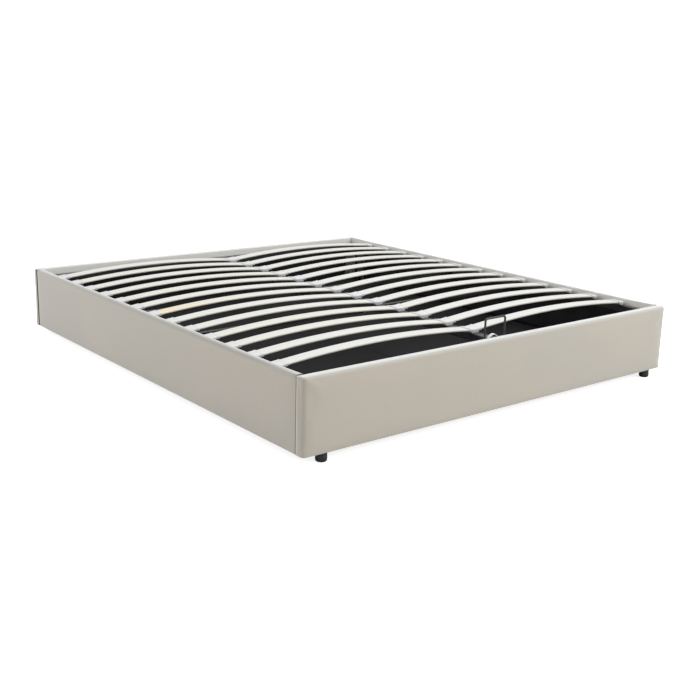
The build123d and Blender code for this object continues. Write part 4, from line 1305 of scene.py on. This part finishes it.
# Centre leg in the same way, with its collar's depth below the beam
LEG_OUTLINE = ((0, 0), (0.0185, 0), (0.0212, 0.0010), (0.0220, 0.0034), (0.0220, 0.0090),
               (0.0212, 0.0104), (0.0196, 0.0116), (0.0192, 0.0230), (0.0196, 0.0242),
               (0.0214, 0.0252))
LEG_COLLAR = ((0.0214, 0.0008), (0.0206, SEAT_GAP))
# Plugs: rounding of their edges, and of their corners where they fit a side tube and a brace; how
# much less their body has, and how deep it goes
PLUG_EDGE = 0.0006
TUBE_PLUG_CORNER = 0.003
BRACE_PLUG_CORNER = 0.002
PLUG_CORNER_LOSS = 0.001
TUBE_PLUG_DEPTH = 0.012
BRACE_PLUG_DEPTH = 0.010


def glide_profile(outline, collar, carried, stud_top):
    """A foot's outline from the floor up, its collar under what it carries, and its stud."""
    return [*outline, *[(radius, carried - depth) for radius, depth in collar],
            (STUD_RADIUS, carried - SEAT_GAP), (STUD_RADIUS, stud_top), (0, stud_top)]


def plug_grids(node, axis, side, depth, corner, settings):
    """Head and body of the plug in one end of a tube. The head covers the end as a thin block, and
    the body, smaller by the tube's wall, is pushed in by its depth."""
    low, high = span(node)
    end = high[axis]
    parts = ((end, end + settings.plug_head, 0.0, corner),
             (end - depth, end + settings.plug_head / 2, settings.tube_wall,
              corner - PLUG_CORNER_LOSS))
    grids = []
    for begin, stop, wall, radius in parts:
        block_low, block_high = low + wall, high - wall
        block_low[axis], block_high[axis] = sorted((side * begin, side * stop))
        grids.append(lying_block(block_low, block_high, PLUG_EDGE, radius, axis))
    return grids


class OTTOMAN_OT_make_feet(bpy.types.Operator):
    """Make the corner feet, the centre legs and the plugs in the open tube ends"""
    bl_idname = "ottoman.make_feet"
    bl_label = "Make Feet and Plugs"

    def execute(self, context):
        settings = context.scene.ottoman_fittings
        finish = plastic_finish("black_nylon", settings.nylon, rough=0.42, skin=0.0009,
                                scratched=0.3)
        high, radius = span("corner_feet")[1], max(FOOT_OUTLINE)[0]
        foot = glide_profile(FOOT_OUTLINE, FOOT_COLLAR, END_COVER[0][2], high[2])
        grids = [turned_form(side * (high[0] - radius), end * (high[1] - radius), foot, GLIDE_SIDES)
                 for side in SIDES.values() for end in ENDS.values()]
        place("corner_feet_glides", surface("corner_feet_glides", grids), finish, "base",
              "black_plastic", ["corner_feet"])
        (low, high), radius = span("centre_legs"), max(LEG_OUTLINE)[0]
        leg = glide_profile(LEG_OUTLINE, LEG_COLLAR, span("centre_beam")[0][2], high[2])
        grids = [turned_form(0.0, y, leg, GLIDE_SIDES)
                 for y in (low[1] + radius, 0.0, high[1] - radius)]
        place("centre_leg_glides", surface("centre_leg_glides", grids), finish, "base",
              "black_plastic", ["centre_legs"])
        grids = []
        for name in SIDES:
            for end in ENDS.values():
                grids += plug_grids("side_tube_" + name, 1, end, TUBE_PLUG_DEPTH, TUBE_PLUG_CORNER,
                                    settings)
        for name in ENDS:
            for side in SIDES.values():
                grids += plug_grids("cross_brace_" + name, 0, side, BRACE_PLUG_DEPTH,
                                    BRACE_PLUG_CORNER, settings)
        place("tube_plugs", surface("tube_plugs", grids), finish, "lift_frame", "black_plastic")
        return {"FINISHED"}


# Finishes of the parts that keep their shape

class OTTOMAN_OT_finish_parts(bpy.types.Operator):
    """Give the frame, fittings, boards and panels their finishes"""
    bl_idname = "ottoman.finish_parts"
    bl_label = "Finish Frame and Boards"

    def execute(self, context):
        settings = context.scene.ottoman_finishes
        coat = coat_finish("frame_powder_coat", settings.powder, rough=0.36, coat=0.25)
        strut = coat_finish("strut_paint", settings.strut, rough=0.26, coat=0.5, skin=0.0009,
                            wear=0.15)
        zinc = metal_finish("zinc_plate", settings.zinc, rough=0.34)
        steel = metal_finish("bright_steel", settings.steel, rough=0.28, spangle=400.0)
        chrome = metal_finish("rod_chrome", settings.chrome, rough=0.12, spangle=30.0,
                              along=(1.0, 6.0, 6.0))
        panel, pine, chip = panel_finish(settings), pine_finish(settings), chip_finish(settings)
        table = {
            coat: ["side_tube_left", "side_tube_right", "foot_crossbar", "head_crossbar",
                   "centre_rail", "cross_brace_foot", "cross_brace_head", "strut_lug_left",
                   "strut_lug_right"],
            zinc: ["corner_brackets", "frame_rests", "hinge_plate_left", "hinge_plate_right"],
            steel: ["bracket_screws", "corner_bolts", "brace_bolts", "pivot_pins_left",
                    "pivot_pins_right"],
            strut: ["strut_cylinder_left", "strut_cylinder_right"],
            chrome: ["strut_rod_left", "strut_rod_right"],
            panel: ["base_panel_left", "base_panel_right"],
            pine: ["side_ledgers", "end_ledgers", "centre_beam"],
            chip: ["foot_rail_board", "head_rail_board", "side_rail_board_left",
                   "side_rail_board_right"],
        }
        for finish, nodes in table.items():
            for node in nodes:
                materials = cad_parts[node].data.materials
                for number in range(len(materials)):
                    materials[number] = finish
                if not materials:
                    materials.append(finish)
        return {"FINISHED"}


# Stage

SENSOR_WIDTH = 36.0
CLIP_NEAR = 0.05
CLIP_FAR = 200.0
# Floor: half its size, points along each side and how far it lies below the feet
FLOOR_REACH = 40.0
FLOOR_POINTS = 33
FLOOR_DROP = 0.0002
# Distances from the bed's middle between which the floor's glow turns into the backdrop's
GLOW_ENDS = 2.0
BACKDROP_BEGINS = 4.5
# Each light: where it stands, the point that it is turned to, and the side of its square
LIGHTS = {"top": ((0.6, -0.6, 4.4), (0.0, 0.0, 0.2), 4.0),
          "left": ((-8.0, 6.0, 4.2), (-0.9, 0.9, 0.2), 3.5),
          "right": ((4.5, -9.0, 4.6), (0.9, -1.0, 0.2), 3.5)}


def set_camera(settings):
    """Stand the camera in its place. It looks against the direction (sin a cos d, -cos a cos d,
    sin d) of its azimuth a and its dip d, and its own axes are turned about that by the roll."""
    yaw, dip, roll = settings.azimuth, settings.dip, settings.roll
    back = Vector((sin(yaw) * cos(dip), -cos(yaw) * cos(dip), sin(dip)))
    right = (-back).cross(Vector((0, 0, 1))).normalized()
    up = back.cross(right)
    across = cos(roll) * right + sin(roll) * up
    upward = cos(roll) * up - sin(roll) * right
    camera = show("camera", bpy.data.cameras.new("camera"))
    camera.data.lens, camera.data.sensor_width = settings.lens, SENSOR_WIDTH
    camera.data.clip_start, camera.data.clip_end = CLIP_NEAR, CLIP_FAR
    turn = Matrix((across, upward, back)).transposed().to_4x4()
    camera.matrix_world = Matrix.Translation(settings.camera_place) @ turn
    bpy.context.scene.camera = camera


def floor_finish(settings):
    """Studio floor: a pale matt ground whose glow only the camera sees, and which turns into the
    backdrop's brightness away from the bed."""
    mottle = 0.985

    def write(r):
        spot = r.object_place()
        base = r.mix(r.noise(spot, scale=1.3), settings.floor, toned(settings.floor, mottle))
        away = r.add("ShaderNodeVectorMath", {0: spot}, operation="LENGTH").outputs["Value"]
        light = r.mix(r.remap(away, GLOW_ENDS, BACKDROP_BEGINS), [settings.glow] * 3,
                      [settings.backdrop] * 3)
        return principled(r, Base_Color=base, Roughness=0.9, Specular_IOR_Level=0.1,
                          Emission_Color=r.mix(r.seen_by_camera(), (0.0, 0.0, 0.0), light),
                          Emission_Strength=1.0)
    return finish_named("studio_floor", write)


def set_floor(settings):
    """Lay the studio floor: a level grid of points."""
    spread = np.linspace(-FLOOR_REACH, FLOOR_REACH, FLOOR_POINTS)
    x, y = np.meshgrid(spread, spread, indexing="ij")
    points = np.stack([x, y, np.full_like(x, -FLOOR_DROP)], -1)
    mesh = surface("studio_floor", [{"points": points, "around": False}])
    mesh.materials.append(floor_finish(settings))
    floor = show("studio_floor", mesh)


def set_sky(settings):
    """White all round: the camera sees the backdrop's brightness, and the bed gets the fill."""
    world = bpy.context.scene.world or bpy.data.worlds.new("studio")
    bpy.context.scene.world = world
    world.use_nodes = True
    sky = world.node_tree.nodes.get("Background")
    sky.inputs["Color"].default_value = (1.0, 1.0, 1.0, 1.0)
    around = Recipe(world.node_tree)
    strength = around.remap(around.seen_by_camera(), 0.0, 1.0, settings.sky, settings.backdrop)
    around.give(sky.inputs["Strength"], strength)


def set_light(name, stand, aim, size, power):
    """A large square light at a place, turned to a point."""
    lamp = bpy.data.lights.new(name, "AREA")
    lamp.shape, lamp.size, lamp.energy = "SQUARE", size, power
    light = show(name, lamp)
    light.location = stand
    light.rotation_mode = "QUATERNION"
    light.rotation_quaternion = (Vector(aim) - Vector(stand)).to_track_quat("-Z", "Y")


class OTTOMAN_OT_set_stage(bpy.types.Operator):
    """Set the camera, the studio floor and the lights"""
    bl_idname = "ottoman.set_stage"
    bl_label = "Set Stage"

    def execute(self, context):
        settings = context.scene.ottoman_stage
        set_camera(settings)
        set_floor(settings)
        set_sky(settings)
        context.scene.view_settings.view_transform = "Standard"
        for name, (stand, aim, size) in LIGHTS.items():
            set_light(name + "_light", stand, aim, size, getattr(settings, name))
        return {"FINISHED"}


# Sidebar and running

GROUPS = {"ottoman_upholstery": UpholsterySizes, "ottoman_lining": LiningSizes,
          "ottoman_slats": SlatSizes, "ottoman_holders": HolderSizes,
          "ottoman_fittings": FittingSizes, "ottoman_finishes": FinishSizes,
          "ottoman_stage": StageSizes}
STEPS = (("ottoman_stage", OTTOMAN_OT_set_stage),
         ("ottoman_upholstery", OTTOMAN_OT_upholster_rails),
         ("ottoman_lining", OTTOMAN_OT_line_storage),
         ("ottoman_slats", OTTOMAN_OT_make_slats),
         ("ottoman_holders", OTTOMAN_OT_make_holders),
         ("ottoman_fittings", OTTOMAN_OT_make_retainer),
         ("ottoman_fittings", OTTOMAN_OT_make_feet),
         ("ottoman_finishes", OTTOMAN_OT_finish_parts))


class OTTOMAN_PT_build(bpy.types.Panel):
    """Sizes, colours and steps of the storage bed"""
    bl_idname = "OTTOMAN_PT_build"
    bl_label = "Ottoman Bed"
    bl_space_type = "VIEW_3D"
    bl_region_type = "UI"
    bl_category = "Ottoman Bed"

    def draw(self, context):
        shown = set()
        for attribute, step in STEPS:
            box = self.layout.box()
            if attribute not in shown:
                shown.add(attribute)
                for name in GROUPS[attribute].__annotations__:
                    box.prop(getattr(context.scene, attribute), name)
            box.operator(step.bl_idname)


CLASSES = (*GROUPS.values(), *[step for attribute, step in STEPS], OTTOMAN_PT_build)


def register():
    """Register every class and hang the sizes on the scene."""
    for kind in CLASSES:
        bpy.utils.register_class(kind)
    for attribute, kind in GROUPS.items():
        setattr(bpy.types.Scene, attribute, PointerProperty(type=kind))


def unregister():
    """Take the sizes off the scene and unregister every class."""
    for attribute in GROUPS:
        delattr(bpy.types.Scene, attribute)
    for kind in reversed(CLASSES):
        bpy.utils.unregister_class(kind)


def main():
    """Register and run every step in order."""
    register()
    bpy.ops.ottoman.set_stage()
    bpy.ops.ottoman.upholster_rails()
    bpy.ops.ottoman.line_storage()
    bpy.ops.ottoman.make_slats()
    bpy.ops.ottoman.make_holders()
    bpy.ops.ottoman.make_retainer()
    bpy.ops.ottoman.make_feet()
    bpy.ops.ottoman.finish_parts()


if __name__ == "__main__":
    main()
